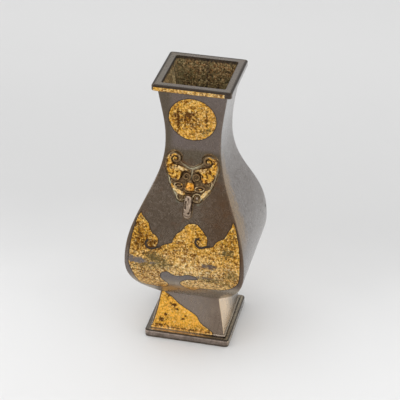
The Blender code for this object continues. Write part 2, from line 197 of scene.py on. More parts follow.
class Field:
    """The output of a node."""

    def __init__(self, nodes, socket):
        self.nodes = nodes
        self.socket = socket

    def __add__(self, other):
        return self.nodes.math("ADD", self, other)

    def __sub__(self, other):
        return self.nodes.math("SUBTRACT", self, other)

    def __rsub__(self, other):
        return self.nodes.math("SUBTRACT", other, self)

    def __mul__(self, other):
        return self.nodes.math("MULTIPLY", self, other)

    def __truediv__(self, other):
        return self.nodes.math("DIVIDE", self, other)

    def __abs__(self):
        return self.nodes.math("ABSOLUTE", self)

    def most(self, other):
        return self.nodes.math("MAXIMUM", self, other)

    def span(self, low, high, new_low, new_high, **settings):
        """Carried from one span of values to another, and held at its ends."""
        values = {"Value": self, "From Min": low, "From Max": high, "To Min": new_low, "To Max": new_high}
        return self.nodes.add("ShaderNodeMapRange", values, **settings)

    def step(self, low, high):
        """0 at low, 1 at high, smooth between; high may be the smaller."""
        return self.span(low, high, 0.0, 1.0, interpolation_type="SMOOTHSTEP")


class Nodes:
    """A node tree being written."""

    def __init__(self, tree):
        self.tree = tree

    def feed(self, socket, value):
        """Link the input to a field, or set it; a colour may leave out its fourth number."""
        if isinstance(value, Field):
            self.tree.links.new(value.socket, socket)
        elif socket.type == "RGBA" and len(value) == 3:
            socket.default_value = (*value, 1.0)
        else:
            socket.default_value = value

    def node(self, kind, values=None, **settings):
        made = self.tree.nodes.new(kind)
        for name, value in settings.items():
            setattr(made, name, value)
        for key, value in (values or {}).items():
            self.feed(made.inputs[key], value)
        return made

    def add(self, kind, values=None, out=0, **settings):
        return Field(self, self.node(kind, values, **settings).outputs[out])

    def outputs(self, kind, values=None, **settings):
        return {out.name: Field(self, out) for out in self.node(kind, values, **settings).outputs}

    def math(self, operation, *values):
        return self.add("ShaderNodeMath", dict(enumerate(values)), operation=operation)

    def vector(self, operation, first, second):
        key = "Scale" if operation == "SCALE" else 1
        return self.add("ShaderNodeVectorMath", {0: first, key: second}, operation=operation)

    def split(self, vector):
        return self.outputs("ShaderNodeSeparateXYZ", {"Vector": vector}).values()

    def mix(self, factor, first, second, blend="MIX"):
        values = {0: factor, 6: first, 7: second}
        return self.add("ShaderNodeMix", values, out=2, data_type="RGBA", blend_type=blend)

    def between(self, factor, first, second):
        return self.add("ShaderNodeMix", {0: factor, 2: first, 3: second}, data_type="FLOAT")

    def layered(self, colour, layers):
        """The colour with others laid over it in turn; a layer is (how much, colour)."""
        for amount, tone in layers:
            colour = self.mix(amount, colour, tone)
        return colour

    def noise(self, place, scale, detail, roughness, distortion=0.0, **mapping):
        """Noise from 0 to 1. A Location takes another part of its pattern, a Scale stretches it."""
        if mapping:
            place = self.add("ShaderNodeMapping", {"Vector": place, **mapping})
        values = {"Vector": place, "Scale": scale, "Detail": detail, "Roughness": roughness}
        return self.add("ShaderNodeTexNoise", {**values, "Distortion": distortion})

    def attribute(self, name):
        return self.add("ShaderNodeAttribute", out="Fac", attribute_name=name)

    def group(self, name, values):
        """The outputs of a shared group, which is made when it is first asked for."""
        shared = bpy.data.node_groups.get(name) or GROUPS[name]()
        return self.outputs("ShaderNodeGroup", values, node_tree=shared)


def new_tree(kind, name, inputs, outputs):
    """A tree to be filled, and its inputs by name. An input gives its default, or else its kind."""
    tree = bpy.data.node_groups.new(name, kind)
    for label, default in inputs.items():
        bare = isinstance(default, str)
        socket_kind = default if bare else {int: "Int", float: "Float", tuple: "Color"}[type(default)]
        socket = tree.interface.new_socket(label, in_out="INPUT", socket_type="NodeSocket" + socket_kind)
        if not bare:
            socket.default_value = default
    for label, socket_kind in outputs.items():
        tree.interface.new_socket(label, in_out="OUTPUT", socket_type="NodeSocket" + socket_kind)
    nodes = Nodes(tree)
    return nodes, nodes.outputs("NodeGroupInput")


# The body's outline. A point is (half width, level).


def stretch(start, start_handle, end_handle, end, spacing):
    """Points along one smooth stretch of outline at about this spacing, without the first."""
    knots = [Vector((*point, 0.0)) for point in (start, start_handle, end_handle, end)]
    length = sum((b - a).length for a, b in zip(knots, knots[1:]))
    count = max(4, round(length / spacing))
    return [(p.x, p.y) for p in interpolate_bezier(*knots, count + 1)][1:]


def foot_outline(spacing):
    flare = FOOT_HALF - WAIST_HALF
    base = (FOOT_HALF, FOOT_BASE)
    base_handle = (FOOT_HALF - flare * FOOT_SWEEP, FOOT_BASE + FOOT_HEIGHT * FOOT_SPREAD)
    waist_handle = (WAIST_HALF + flare * FOOT_TAPER, WAIST_LEVEL - FOOT_HEIGHT * FOOT_STRAIGHTNESS)
    return [base] + stretch(base, base_handle, waist_handle, (WAIST_HALF, WAIST_LEVEL), spacing)


def upper_outline(belly_spacing, neck_spacing):
    """The belly, shoulder and neck, from the waist up to the collar under the lip."""
    waist = (WAIST_HALF, WAIST_LEVEL)
    belly = (BELLY_HALF, BELLY_LEVEL)
    neck = (NECK_HALF, NECK_LEVEL)
    collar = (COLLAR_HALF, COLLAR_LEVEL)
    waist_handle = (
        WAIST_HALF + (BELLY_HALF - WAIST_HALF) * HEEL_REACH,
        WAIST_LEVEL + BELLY_HEIGHT * HEEL_RISE,
    )
    collar_handle = (
        COLLAR_HALF - (COLLAR_HALF - NECK_HALF) * NECK_SWEEP,
        COLLAR_LEVEL - NECK_HEIGHT * NECK_FLARE,
    )
    below_belly = (BELLY_HALF, BELLY_LEVEL - BELLY_HEIGHT * BELLY_FULLNESS)
    above_belly = (BELLY_HALF, BELLY_LEVEL + SHOULDER_HEIGHT * SHOULDER_FULLNESS)
    below_neck = (NECK_HALF, NECK_LEVEL - SHOULDER_HEIGHT * NECK_SLENDERNESS)
    above_neck = (NECK_HALF, NECK_LEVEL + NECK_HEIGHT * NECK_FLARE)
    points = [waist]
    points += stretch(waist, waist_handle, below_belly, belly, belly_spacing)
    points += stretch(belly, above_belly, below_neck, neck, (belly_spacing + neck_spacing) / 2)
    return points + stretch(neck, above_neck, collar_handle, collar, neck_spacing)


def directions(line):
    """The direction of a line at each of its points."""
    along = np.gradient(line, axis=0)
    return along / np.linalg.norm(along, axis=1)[:, None]


def offset_inwards(points, distance):
    """The outline moved into the wall, square to its own direction at each point."""
    line = np.array(points)
    along = directions(line)
    return [tuple(p) for p in line + distance * np.stack([-along[:, 1], along[:, 0]], 1)]


def rounded(centre, radius, start_angle, end_angle, steps):
    """Points of an arc, from one angle to another in degrees."""
    turns = np.radians(np.linspace(start_angle, end_angle, steps + 1))
    return [(centre[0] + radius * math.cos(a), centre[1] + radius * math.sin(a)) for a in turns]


def straight(start, end, spacing):
    """Points between two others, without either."""
    count = max(1, round(math.dist(start, end) / spacing))
    return [
        (start[0] + (end[0] - start[0]) * i / count, start[1] + (end[1] - start[1]) * i / count)
        for i in range(1, count)
    ]


def body_section(settings):
    """Half of the vase's section with the round of its corners: up under the foot, up the outside, over the
    lip, down inside and in to the middle of the floor. A row is (half, level, round, inside)."""
    side, edge, arris = settings.plinth_round, settings.edge_round, settings.arris_round
    corner, small = settings.lip_round, 0.8 * MM
    rows = []

    def lay(points, corner, inside=0.0):
        for half, level in points:
            rows.append((half, level, min(corner, max(half - 0.0001, 0.0)), inside))

    # the hollow of the foot
    hollow = offset_inwards(foot_outline(3 * settings.neck_spacing), WALL)
    hollow = [p for p in hollow if FOOT_BASE < p[1] < WAIST_LEVEL - 0.0008]
    ceiling = (WAIST_HALF - WALL, WAIST_LEVEL)
    seat = (FOOT_HALF - WALL + 0.0006, 0.0)
    lay([(0.0, WAIST_LEVEL)] + straight((0.0, WAIST_LEVEL), ceiling, 0.004) + [ceiling], small)
    lay(hollow[::-1] + [(FOOT_HALF - WALL, FOOT_BASE), (FOOT_HALF - WALL + 0.0001, 0.0006), seat], small)

    # plinth, bead, foot, belly, shoulder and neck
    plinth_edge = PLINTH_HALF - edge
    bead = BEAD_HEIGHT / 2
    bead_foot = (BEAD_HALF - 0.0002, PLINTH_HEIGHT - 0.00005)
    lay(straight(seat, (plinth_edge, 0.0), 0.0015), side)
    lay(rounded((plinth_edge, edge), edge, -90, 0, 5), side)
    lay(straight((PLINTH_HALF, edge), (PLINTH_HALF, PLINTH_HEIGHT - edge), 0.001), side)
    lay(rounded((plinth_edge, PLINTH_HEIGHT - edge), edge, 0, 90, 5), side)
    lay(straight((plinth_edge, PLINTH_HEIGHT), bead_foot, 0.0005) + [bead_foot], side)
    lay(rounded((BEAD_HALF - bead, PLINTH_HEIGHT + bead), bead, -30, 80, 6), arris)
    lay(foot_outline(0.8 * MM)[:-1], arris)
    lay(upper_outline(settings.belly_spacing, settings.neck_spacing)[:-1], arris)

    # lip
    under_lip = (COLLAR_HALF, COLLAR_LEVEL - 0.00005)
    lip_edge = LIP_HALF - edge
    inner_edge = (MOUTH_HALF + 0.0003, TOP_LEVEL)
    lay([under_lip] + straight(under_lip, (lip_edge, COLLAR_LEVEL), 0.0006), corner)
    lay(rounded((lip_edge, COLLAR_LEVEL + edge), edge, -90, 0, 4), corner)
    lay(straight((LIP_HALF, COLLAR_LEVEL + edge), (LIP_HALF, TOP_LEVEL - edge), 0.00035), corner)
    lay(rounded((lip_edge, TOP_LEVEL - edge), edge, 0, 90, 6), corner)
    lay(straight((lip_edge, TOP_LEVEL), inner_edge, 0.0005) + [inner_edge], small)

    # inside
    wall = offset_inwards(upper_outline(3.2 * MM, 2.4 * MM), WALL)
    wall = [p for p in wall if FLOOR_LEVEL + 0.001 < p[1] < COLLAR_LEVEL]
    floor_edge = (wall[0][0] - 0.0012, FLOOR_LEVEL)
    middle = (0.0, FLOOR_LEVEL)
    lay([(MOUTH_HALF, TOP_LEVEL - 0.0003)] + wall[::-1], small, 1.0)
    lay([floor_edge] + straight(floor_edge, middle, 0.0035) + [middle], small, 1.0)
    return rows


def wall_at(levels):
    """Half width of the outside at each level, and the outward direction there as two arrays."""
    line = np.array(upper_outline(0.5 * MM, 0.5 * MM))
    along = directions(line)
    return [np.interp(levels, line[:, 1], values) for values in (line[:, 0], along[:, 1], -along[:, 0])]


# Drawing on a flat field: distances, ridges, leaves and bosses, all in millimetres.


def bell(distance, width):
    return np.exp(-((distance / width) ** 2))


def smooth_line(knots, closed=False, steps=6):
    """Points on a smooth curve through the knots; a knot may carry more than its place."""
    knots = np.array(knots, float)
    if closed:
        around = np.vstack([knots[-1:], knots, knots[:2]])
    else:
        around = np.vstack([2 * knots[:1] - knots[1:2], knots, 2 * knots[-1:] - knots[-2:-1]])
    made = []
    for a, b, c, d in zip(around, around[1:], around[2:], around[3:]):
        for share in np.arange(steps) / steps:
            made.append(
                0.5 * (2 * b + (c - a) * share + (2 * a - 5 * b + 4 * c - d) * share**2
                       + (3 * b - a - 3 * c + d) * share**3)
            )
    made.append(knots[0] if closed else knots[-1])
    return np.array(made)


def near_line(x, y, line):
    """Each place's distance to a line, and the line's other values at the nearest point of it."""
    best = np.full(x.shape, 1e9)
    carried = np.zeros((line.shape[1] - 2,) + x.shape)
    for a, b in zip(line, line[1:]):
        step = b[:2] - a[:2]
        share = ((x - a[0]) * step[0] + (y - a[1]) * step[1]) / max(step @ step, 1e-12)
        share = np.clip(share, 0.0, 1.0)
        gap = np.hypot(x - a[0] - share * step[0], y - a[1] - share * step[1])
        closer = gap < best
        best = np.where(closer, gap, best)
        for i in range(len(carried)):
            carried[i] = np.where(closer, a[2 + i] + share * (b[2 + i] - a[2 + i]), carried[i])
    return best, carried


def gap_to(x, y, knots):
    """Distance to the smooth curve through the knots."""
    return near_line(x, y, smooth_line([knot[:2] for knot in knots]))[0]


def depth_inside(x, y, knots, smooth=True):
    """Distance to a closed outline, above zero inside it."""
    line = smooth_line(knots, closed=True) if smooth else np.array(list(knots) + [knots[0]], float)
    within = np.zeros(x.shape, bool)
    for a, b in zip(line, line[1:]):
        if a[1] != b[1]:
            crosses = (a[1] > y) != (b[1] > y)
            within ^= crosses & (x < (b[0] - a[0]) * (y - a[1]) / (b[1] - a[1]) + a[0])
    gap, _ = near_line(x, y, line)
    return np.where(within, gap, -gap)


def spots(x, y, places):
    """Soft patches added up; a place is (x, y, reach across, reach up, strength)."""
    total = np.zeros(x.shape)
    for across, up, wide, high, strength in places:
        total += strength * np.exp(-(((x - across) / wide) ** 2) - ((y - up) / high) ** 2)
    return total


def ridge(x, y, knots, widen=1.0):
    """Height of a round ridge; a knot is (x, y, height of its middle, radius)."""
    gap, (middle, radius) = near_line(x / widen, y, smooth_line(knots))
    return np.where(gap < radius, middle + np.sqrt(np.maximum(radius**2 - gap**2, 0.0)), FAR_OUTSIDE)


def volute_knots(centre, radii, thickness, start_angle, turns, height):
    """Knots of a ridge that winds in to its centre; negative turns wind clockwise."""
    count = max(3, round(abs(turns) * 12))
    share = np.arange(count + 1) / count
    angle = np.radians(start_angle + 360 * turns * share)
    reach = radii[0] + (radii[1] - radii[0]) * share
    girth = thickness[0] + (thickness[1] - thickness[0]) * share
    return np.stack(
        [centre[0] + reach * np.cos(angle), centre[1] + reach * np.sin(angle), height + 0 * share, girth], 1
    )


def oval_knots(centre, radii, tilt, height, girth):
    """Knots of a closed oval ridge, tilted by so many radians."""
    turn = np.linspace(0, 2 * math.pi, 21)
    across, up = radii[0] * np.cos(turn), radii[1] * np.sin(turn)
    return np.stack([
        centre[0] + across * math.cos(tilt) - up * math.sin(tilt),
        centre[1] + across * math.sin(tilt) + up * math.cos(tilt),
        height + 0 * turn, girth + 0 * turn,
    ], 1)


def leaf(depth, top, rim):
    """Height of a flat form with a rounded rim, from the depth inside its outline."""
    drop = rim - np.clip(depth, 0.0, rim)
    return np.where(depth > 0, top - rim + np.sqrt(np.maximum(rim**2 - drop**2, 0.0)), FAR_OUTSIDE)


def boss(x, y, centre, radii):
    share = 1 - ((x - centre[0]) / radii[0]) ** 2 - ((y - centre[1]) / radii[1]) ** 2
    return np.where(share > 0, centre[2] + radii[2] * np.sqrt(np.maximum(share, 0.0)), FAR_OUTSIDE)


def soften(height, times):
    for _ in range(times):
        wide = np.pad(height, 1, mode="edge")
        height = (4 * height + wide[:-2, 1:-1] + wide[2:, 1:-1] + wide[1:-1, :-2] + wide[1:-1, 2:]) / 8
    return height


# Settings that a user may change.


def length(name, description, default):
    return FloatProperty(name=name, description=description, default=default, unit="LENGTH")


def angle(name, description, degrees):
    return FloatProperty(name=name, description=description, default=math.radians(degrees), subtype="ANGLE")


def number(name, description, default, least):
    return IntProperty(name=name, description=description, default=default, min=least)


def colour(name, description, *default):
    return FloatVectorProperty(
        name=name, description=description, subtype="COLOR", size=4, default=(*default, 1.0), min=0, max=1
    )


class BodySettings(bpy.types.PropertyGroup):
    lip_round: length("Lip corners", "Round of the lip's four corners", 1.6 * MM)
    plinth_round: length("Plinth corners", "Round of the plinth's corners", 2.2 * MM)
    edge_round: length("Worn edges", "Round of the plinth's and the lip's edges", 0.9 * MM)
    arris_round: length("Arrises", "Round of the body's four long edges", 0.7 * MM)
    belly_spacing: length("Belly rows", "Space between rows on the belly", 0.45 * MM)
    neck_spacing: length("Neck rows", "Space between rows on the neck", 0.9 * MM)
    front_columns: number("Front columns", "Steps across the front", 150, 8)
    back_columns: number("Back columns", "Steps across the back", 44, 8)
    side_columns: number("Side columns", "Steps across each side", 12, 4)
    corner_steps: number("Corner steps", "Steps round each corner", 6, 2)
    unevenness: length("Unevenness", "Depth of the hand finished waviness", 0.08 * MM)
    patina_dark: colour("Dark patina", "Darkest brown of the bronze", 0.100, 0.072, 0.049)
    patina_light: colour("Light patina", "Lighter purple brown of the bronze", 0.200, 0.156, 0.122)


class GildingSettings(bpy.types.PropertyGroup):
    rich: colour("Rich gold", "Orange gold of the thick gilding", 0.76, 0.385, 0.040)
    pale: colour("Pale gold", "Cream gold where the gilding is thin", 0.80, 0.535, 0.205)
    stain: colour("Stain", "Red brown of the spots in the gold", 0.26, 0.095, 0.012)
    verdigris: colour("Verdigris", "Pale green grey of the corrosion", 0.33, 0.33, 0.25)


class MaskSettings(bpy.types.PropertyGroup):
    cell: length("Carving cell", "Finest step of the carving", 0.15 * MM)
    softness: number("Softness", "How worn the carving is", 2, 0)


class StageSettings(bpy.types.PropertyGroup):
    azimuth: angle("Azimuth", "Turn of the camera round the vase", 12.1730)
    elevation: angle("Elevation", "Camera's angle above the horizon", 30.2252)
    roll: angle("Roll", "Camera's tilt to one side", 1.1458)
    distance: length("Distance", "From the camera to the vase's middle", 0.979441)
    lens: FloatProperty(name="Lens", description="Focal length", default=147.80, unit="CAMERA")
    aside: length("Aside", "How far right of the vase's middle the camera aims", 0.001232)
    above: length("Above", "How far above the vase's middle the camera aims", 0.000383)
    floor_colour: colour("Floor", "Colour of the floor and backdrop", 0.60, 0.60, 0.60)
    softbox: FloatProperty(name="Softbox", description="Power of the main light", default=5.0, unit="POWER")
    surround: FloatProperty(name="Surround", description="Brightness of the studio", default=1.0, min=0)


# Shared groups of shader nodes.


def patina_group():
    """Brown patina: mottled, streaked downwards, with fine pits."""
    inputs = {
        "Vector": "Vector", "Dark": (0.06, 0.05, 0.04, 1), "Light": (0.12, 0.1, 0.08, 1), "Warmth": 0.5,
        "Streaks": 0.5,
    }
    outputs = {"Color": "Color", "Roughness": "Float", "Height": "Float"}
    nodes, given = new_tree("ShaderNodeTree", "Bronze patina", inputs, outputs)
    place = given["Vector"]
    cloud = nodes.noise(place, 55.0, 4.0, 0.6, 0.4)
    mottle = nodes.noise(place, 420.0, 4.0, 0.75)
    grain = nodes.noise(place, 1300.0, 3.0, 0.7)
    streaks = nodes.noise(place, 1.0, 3.0, 0.6, Scale=(1400.0, 1400.0, 45.0))
    streaks = (streaks - 0.5) * given["Streaks"]
    tone = mottle * 0.85 + cloud * 0.55 + streaks + grain * 0.9 - 0.77
    warm = nodes.noise(place, 130.0, 3.0, 0.6).step(0.52, 0.72) * given["Warmth"]
    dusty = nodes.noise(place, 700.0, 4.0, 0.75).step(0.64, 0.74) * 0.45
    cells = nodes.add("ShaderNodeTexVoronoi", {"Vector": place, "Scale": 620.0})
    pits = cells.step(0.16, 0.05) * mottle.step(0.5, 0.62)
    tones = nodes.mix(tone.step(0.15, 0.85), given["Dark"], given["Light"])
    nodes.node("NodeGroupOutput", {
        "Color": nodes.layered(tones, [
            (warm, (0.135, 0.068, 0.035)), (dusty, (0.30, 0.25, 0.18)), (pits * 0.6, (0.02, 0.016, 0.013)),
        ]),
        "Roughness": tone.span(0.0, 1.0, 0.34, 0.20),
        "Height": streaks * 0.4 + grain * 0.35 - pits * 0.8,
    })
    return nodes.tree


def gilding_group():
    """Worn fire gilding: the depth inside its outline, its wear and its stains say where it is left."""
    inputs = {
        "Vector": "Vector", "Depth": 0.0, "Groove": FAR_OUTSIDE, "Wear": 0.0, "Stains": 0.0, "Paleness": 0.0,
        "Crowding": 0.0, "Freshness": 0.0, "Rich": (0.8, 0.5, 0.1, 1), "Pale": (0.8, 0.6, 0.3, 1),
        "Spots": (0.2, 0.1, 0.02, 1),
    }
    outputs = {"Mask": "Float", "Color": "Color", "Roughness": "Float", "Height": "Float", "Line": "Float"}
    nodes, given = new_tree("ShaderNodeTree", "Worn gilding", inputs, outputs)
    place = given["Vector"]
    stains = given["Stains"]
    fine = nodes.noise(place, 640.0, 3.0, 0.65)
    flecks = nodes.noise(place, 620.0, 3.0, 0.75, 0.3)
    patchy = nodes.noise(place, 210.0, 4.0, 0.7)
    specks = nodes.noise(place, 1150.0, 2.0, 0.6) * 0.4 + fine * 0.6
    scratches = nodes.noise(place, 1.0, 2.0, 0.6, Scale=(1100.0, 1100.0, 60.0))

    # what is left of it, inside its outline and outside its grooves
    depth = (nodes.noise(place, 900.0, 2.0, 0.6) - 0.5) * 0.5 + given["Depth"]
    cut = given["Groove"].step(-0.12, 0.06)
    whole = depth.step(-0.04, 0.14) * (1.0 - cut)
    ample = given["Freshness"].step(0.1, 0.9) * 0.62
    worn = given["Wear"] * 0.42 + patchy * 0.6 + flecks * 0.7 - ample * 0.2
    thick = (patchy - 0.5) * 1.3 + given["Crowding"] - ample * 0.9
    pits = (thick * 0.1 + specks).step(0.56, 0.67)
    left = whole * (1.0 - worn.step(0.85, 1.08)) * (1.0 - pits * 0.05)

    # its colours
    pale = (patchy - 0.5 + given["Paleness"] + (flecks - 0.5) * 1.2).span(0.0, 1.0, 0.0, 1.0)
    ruddy = nodes.noise(place, 360.0, 3.0, 0.6, Location=(0.1, 0.6, 0.3)).step(0.45, 0.7)
    ruddy = ruddy * (0.8 - pale * 0.5) * (1.0 - ample)
    freckles = nodes.noise(place, 540.0, 4.0, 0.7, Location=(0.31, 0.17, 0.05)) + thick * 0.09
    freckles = freckles.step(0.50, 0.67) * (0.88 - ample * 0.4)
    glints = nodes.noise(place, 800.0, 3.0, 0.65).step(0.52, 0.66) * (0.85 - ample * 0.4)
    bright = nodes.mix(pale, (1.0, 0.70, 0.23), (1.0, 0.84, 0.52))
    tones = nodes.layered(nodes.mix(pale, given["Rich"], given["Pale"]), [
        (ample, (0.98, 0.50, 0.070)), (ruddy, (0.52, 0.215, 0.028)), (freckles, given["Spots"]),
        (glints, bright),
    ])
    grains = nodes.noise(place, 820.0, 3.0, 0.7, Location=(0.7, 0.2, 0.9))
    shade = (grains - 0.5) * (3.9 - ample * 2.2) + 1.0
    green = (stains * 0.32 + specks).step(0.56, 0.86) * stains.step(0.05, 0.35)
    nodes.node("NodeGroupOutput", {
        "Mask": left,
        "Color": nodes.layered(nodes.vector("SCALE", tones, shade.span(0.3, 1.12, 0.3, 1.12)), [
            (shade.step(1.1, 1.7) * 0.6, bright), (scratches.step(0.60, 0.72) * 0.45, given["Spots"]),
            (pits * 0.92, (0.085, 0.025, 0.002)), (green * 0.85, (0.13, 0.100, 0.040)),
        ]),
        "Roughness": flecks.span(0.3, 0.7, 0.34, 0.54) + green * 0.15,
        "Height": left * 0.6 + fine * 0.5,
        # Line: a painted shadow line just outside the gilding's outline, and the dark of the hooks' grooves
        "Line": (depth.step(-0.75, -0.2) * (1.0 - whole)).most(cut * 0.8),
    })
    return nodes.tree


def verdigris_group():
    """Pale green grey corrosion that gathers where the amount is high."""
    inputs = {"Vector": "Vector", "Amount": 0.0, "Tint": (0.3, 0.3, 0.2, 1)}
    nodes, given = new_tree("ShaderNodeTree", "Verdigris", inputs, {"Mask": "Float", "Color": "Color"})
    amount = (nodes.noise(given["Vector"], 520.0, 4.0, 0.7) - 0.5) * 1.1 + given["Amount"]
    shade = nodes.noise(given["Vector"], 1400.0, 2.0, 0.6).step(0.35, 0.7)
    nodes.node("NodeGroupOutput", {
        "Mask": amount.step(0.3, 0.75), "Color": nodes.mix(shade, (0.115, 0.125, 0.075), given["Tint"]),
    })
    return nodes.tree


GROUPS = {"Bronze patina": patina_group, "Worn gilding": gilding_group, "Verdigris": verdigris_group}


# Materials.


def start_material(name):
    material = bpy.data.materials.new(name)
    material.use_nodes = True
    nodes = Nodes(material.node_tree)
    return material, nodes, nodes.add("ShaderNodeTexCoord", out="Object")


def finish_surface(nodes, height, depth, values):
    """Feed the shader's inputs, and give it bumps of this depth."""
    bump = nodes.add("ShaderNodeBump", {"Height": height, "Distance": depth, "Strength": 1.0})
    shader = nodes.tree.nodes["Principled BSDF"]
    for key, value in {**values, "Normal": bump}.items():
        nodes.feed(shader.inputs[key], value)


def gilding(nodes, place, gold, crowding):
    """The worn gilding where the piece's own fields put it."""
    values = {"Vector": place, "Depth": nodes.attribute("gilding"), "Crowding": crowding}
    for label in ("Groove", "Wear", "Stains", "Paleness", "Freshness"):
        values[label] = nodes.attribute(label.lower())
    values.update({"Rich": gold.rich, "Pale": gold.pale, "Spots": gold.stain})
    return nodes.group("Worn gilding", values)


def corrosion(nodes, place, gold):
    values = {"Vector": place, "Amount": nodes.attribute("corrosion"), "Tint": gold.verdigris}
    return nodes.group("Verdigris", values)


def bronze_material(body, gold):
    """The outside of the vase: brown patina, worn gilding and corrosion round the masks, with painted light,
    sheen and shade in places.
    """
    material, nodes, place = start_material("worn_bronze")
    x, y, z = nodes.split(place)
    facing_x, facing_y, upward = nodes.split(nodes.add("ShaderNodeNewGeometry", out="Normal"))
    sideways = abs(facing_x).step(0.55, 0.8)
    frontward = facing_y.step(-0.3, -0.7)
    across = abs(x)
    reach = across.most(abs(y))
    cloud = nodes.noise(place, 70.0, 3.0, 0.6)
    wisps = nodes.noise(place, 1.0, 4.0, 0.7, Scale=(500.0, 500.0, 60.0))
    patina = nodes.group("Bronze patina", {
        "Vector": place, "Dark": body.patina_dark, "Light": body.patina_light, "Warmth": 0.55, "Streaks": 0.5,
    })

    # broad tones of the neck and the shoulder, painted light on the belly's underside, and a painted sheen on
    # the sides
    brink = (cloud - 0.5) * 0.006 + z
    neck = brink.step(0.1262, 0.1296) * cloud.span(0.3, 0.7, 0.5, 0.9)
    neck_tone = nodes.mix(x.step(-0.0105, -0.0145), (0.160, 0.130, 0.118), (0.110, 0.088, 0.064))
    olive = brink.step(0.1296, 0.1262) * brink.step(0.112, 0.124)
    # painted light: below the belly the bronze is painted a lighter grey, as if lit from the floor
    below = z.step(0.070, 0.058) * cloud.span(0.3, 0.7, 0.55, 0.85)
    rust = (cloud * 0.02 + x).step(0.014, 0.03) * z.step(0.118, 0.100)
    # painted reflection: the sides are painted a light grey sheen, lighter towards the neck
    flank_sheen = nodes.mix(z.step(0.120, 0.150), (0.150, 0.129, 0.114), (0.300, 0.279, 0.266))

    # the lip, with painted shade on its rounded edges and a dark right end to its front
    rim = z.step(0.1692, 0.1699) * cloud.span(0.3, 0.7, 0.35, 0.75)
    edge = upward.step(0.95, 0.76) * upward.step(0.10, 0.35)
    tilted = upward.step(0.3, 0.6)
    # painted shade: the lip's rounded edges, picked by the way they face, are painted near black
    lip_edge = edge.most(reach.step(LIP_HALF - 0.0022, LIP_HALF - 0.0010) * tilted) * z.step(0.1670, 0.1685)
    lip_end = x.step(0.0186, 0.0204) * z.step(0.1662, 0.1666) * frontward
    lip_edge = lip_edge.most(lip_end * 0.8)

    # a rubbed band along the sides' front edges, and casting pits
    forward = (wisps - 0.5) * 0.9 - y / across
    band = z.step(0.066, 0.084) * z.step(0.132, 0.114) * forward.step(0.42, 0.72)
    band = band * sideways * wisps.span(0.3, 0.6, 0.6, 1.0)
    speckled = nodes.noise(place, 900.0, 3.0, 0.7).span(0.38, 0.62, 0.6, 1.0)
    pitted = 0.0
    for spot, radius, strength in SIDE_PITS:
        away = nodes.add("ShaderNodeVectorMath", {0: place, 1: spot}, out="Value", operation="DISTANCE")
        pitted = (away.step(radius, 0.4 * radius) * strength).most(pitted)

    # the foot, paler at its sides with a painted highlight towards the front arris, its front and back
    # painted lighter as if lit from the floor, and rubbed arrises
    low = z.step(0.032, 0.028)
    heel = low * sideways * wisps.span(0.3, 0.7, 0.8, 1.0)
    # towards the front arris the foot's sides turn from patina to cream: rubbed metal and a painted highlight
    # together
    rubbed_and_lit = forward.step(-0.7, 0.45)
    heel_patina_and_highlight = nodes.mix(rubbed_and_lit, (0.15, 0.112, 0.075), (1.0, 0.76, 0.50))
    # painted light: the foot's front and back are painted a lighter brown, as if lit from the floor
    foot = low * wisps.span(0.3, 0.7, 0.3, 0.7) * (1.0 - sideways)
    arris = abs(across - abs(y)).step(0.0016, 0.0003) * wisps.span(0.35, 0.7, 0.0, 0.55)

    # the plinth: grime with its front faces painted lighter as if lit, a dusty ledge, painted shade on its
    # rounded edges and in the crevice round the bead
    base = z.step(0.0072, 0.0064)
    plinth_grime_and_light = base * nodes.noise(place, 330.0, 4.0, 0.7).span(0.35, 0.65, 0.2, 0.9)
    # painted light: the plinth's front faces are painted much lighter than its sides
    plinth_grime_and_lit_front = nodes.mix(frontward, (0.125, 0.115, 0.092), (0.610, 0.495, 0.425))
    gilt_dust = x.step(0.014, 0.004) * y.step(-0.0205, -0.0222)
    ledge = base * upward.step(0.30, 0.8) * wisps.span(0.35, 0.65, 0.25, 0.9)
    ledge = ledge * x.span(-0.0240, -0.0215, 0.0, 1.0)
    ledge_tone = nodes.mix(gilt_dust, (0.34, 0.29, 0.21), (1.0, 0.80, 0.55))
    # painted shade: the plinth's rounded edges, picked by the way they face, are painted dark
    lower_edge = upward.step(-0.95, -0.7) * upward.step(0.15, -0.15)
    brim = reach.step(PLINTH_HALF - 0.0016, PLINTH_HALF - 0.0006) * tilted
    base_edge_shade = edge.most(lower_edge).most(brim) * z.step(0.0054, 0.0050)
    # painted shade: a dark line where the bead meets the plinth
    crevice_shade = abs(z - (PLINTH_HEIGHT + 0.0001)).step(0.0004, 0.0001)
    crevice_shade = crevice_shade * reach.step(BEAD_HALF + 0.0010, BEAD_HALF + 0.0003) * (0.65 - gilt_dust * 0.45)
    # painted light: faces that look down are painted lighter, as if lit from the floor
    floor_light_tone = nodes.mix(x.step(0.004, -0.012), (0.54, 0.47, 0.37), (0.46, 0.39, 0.29))

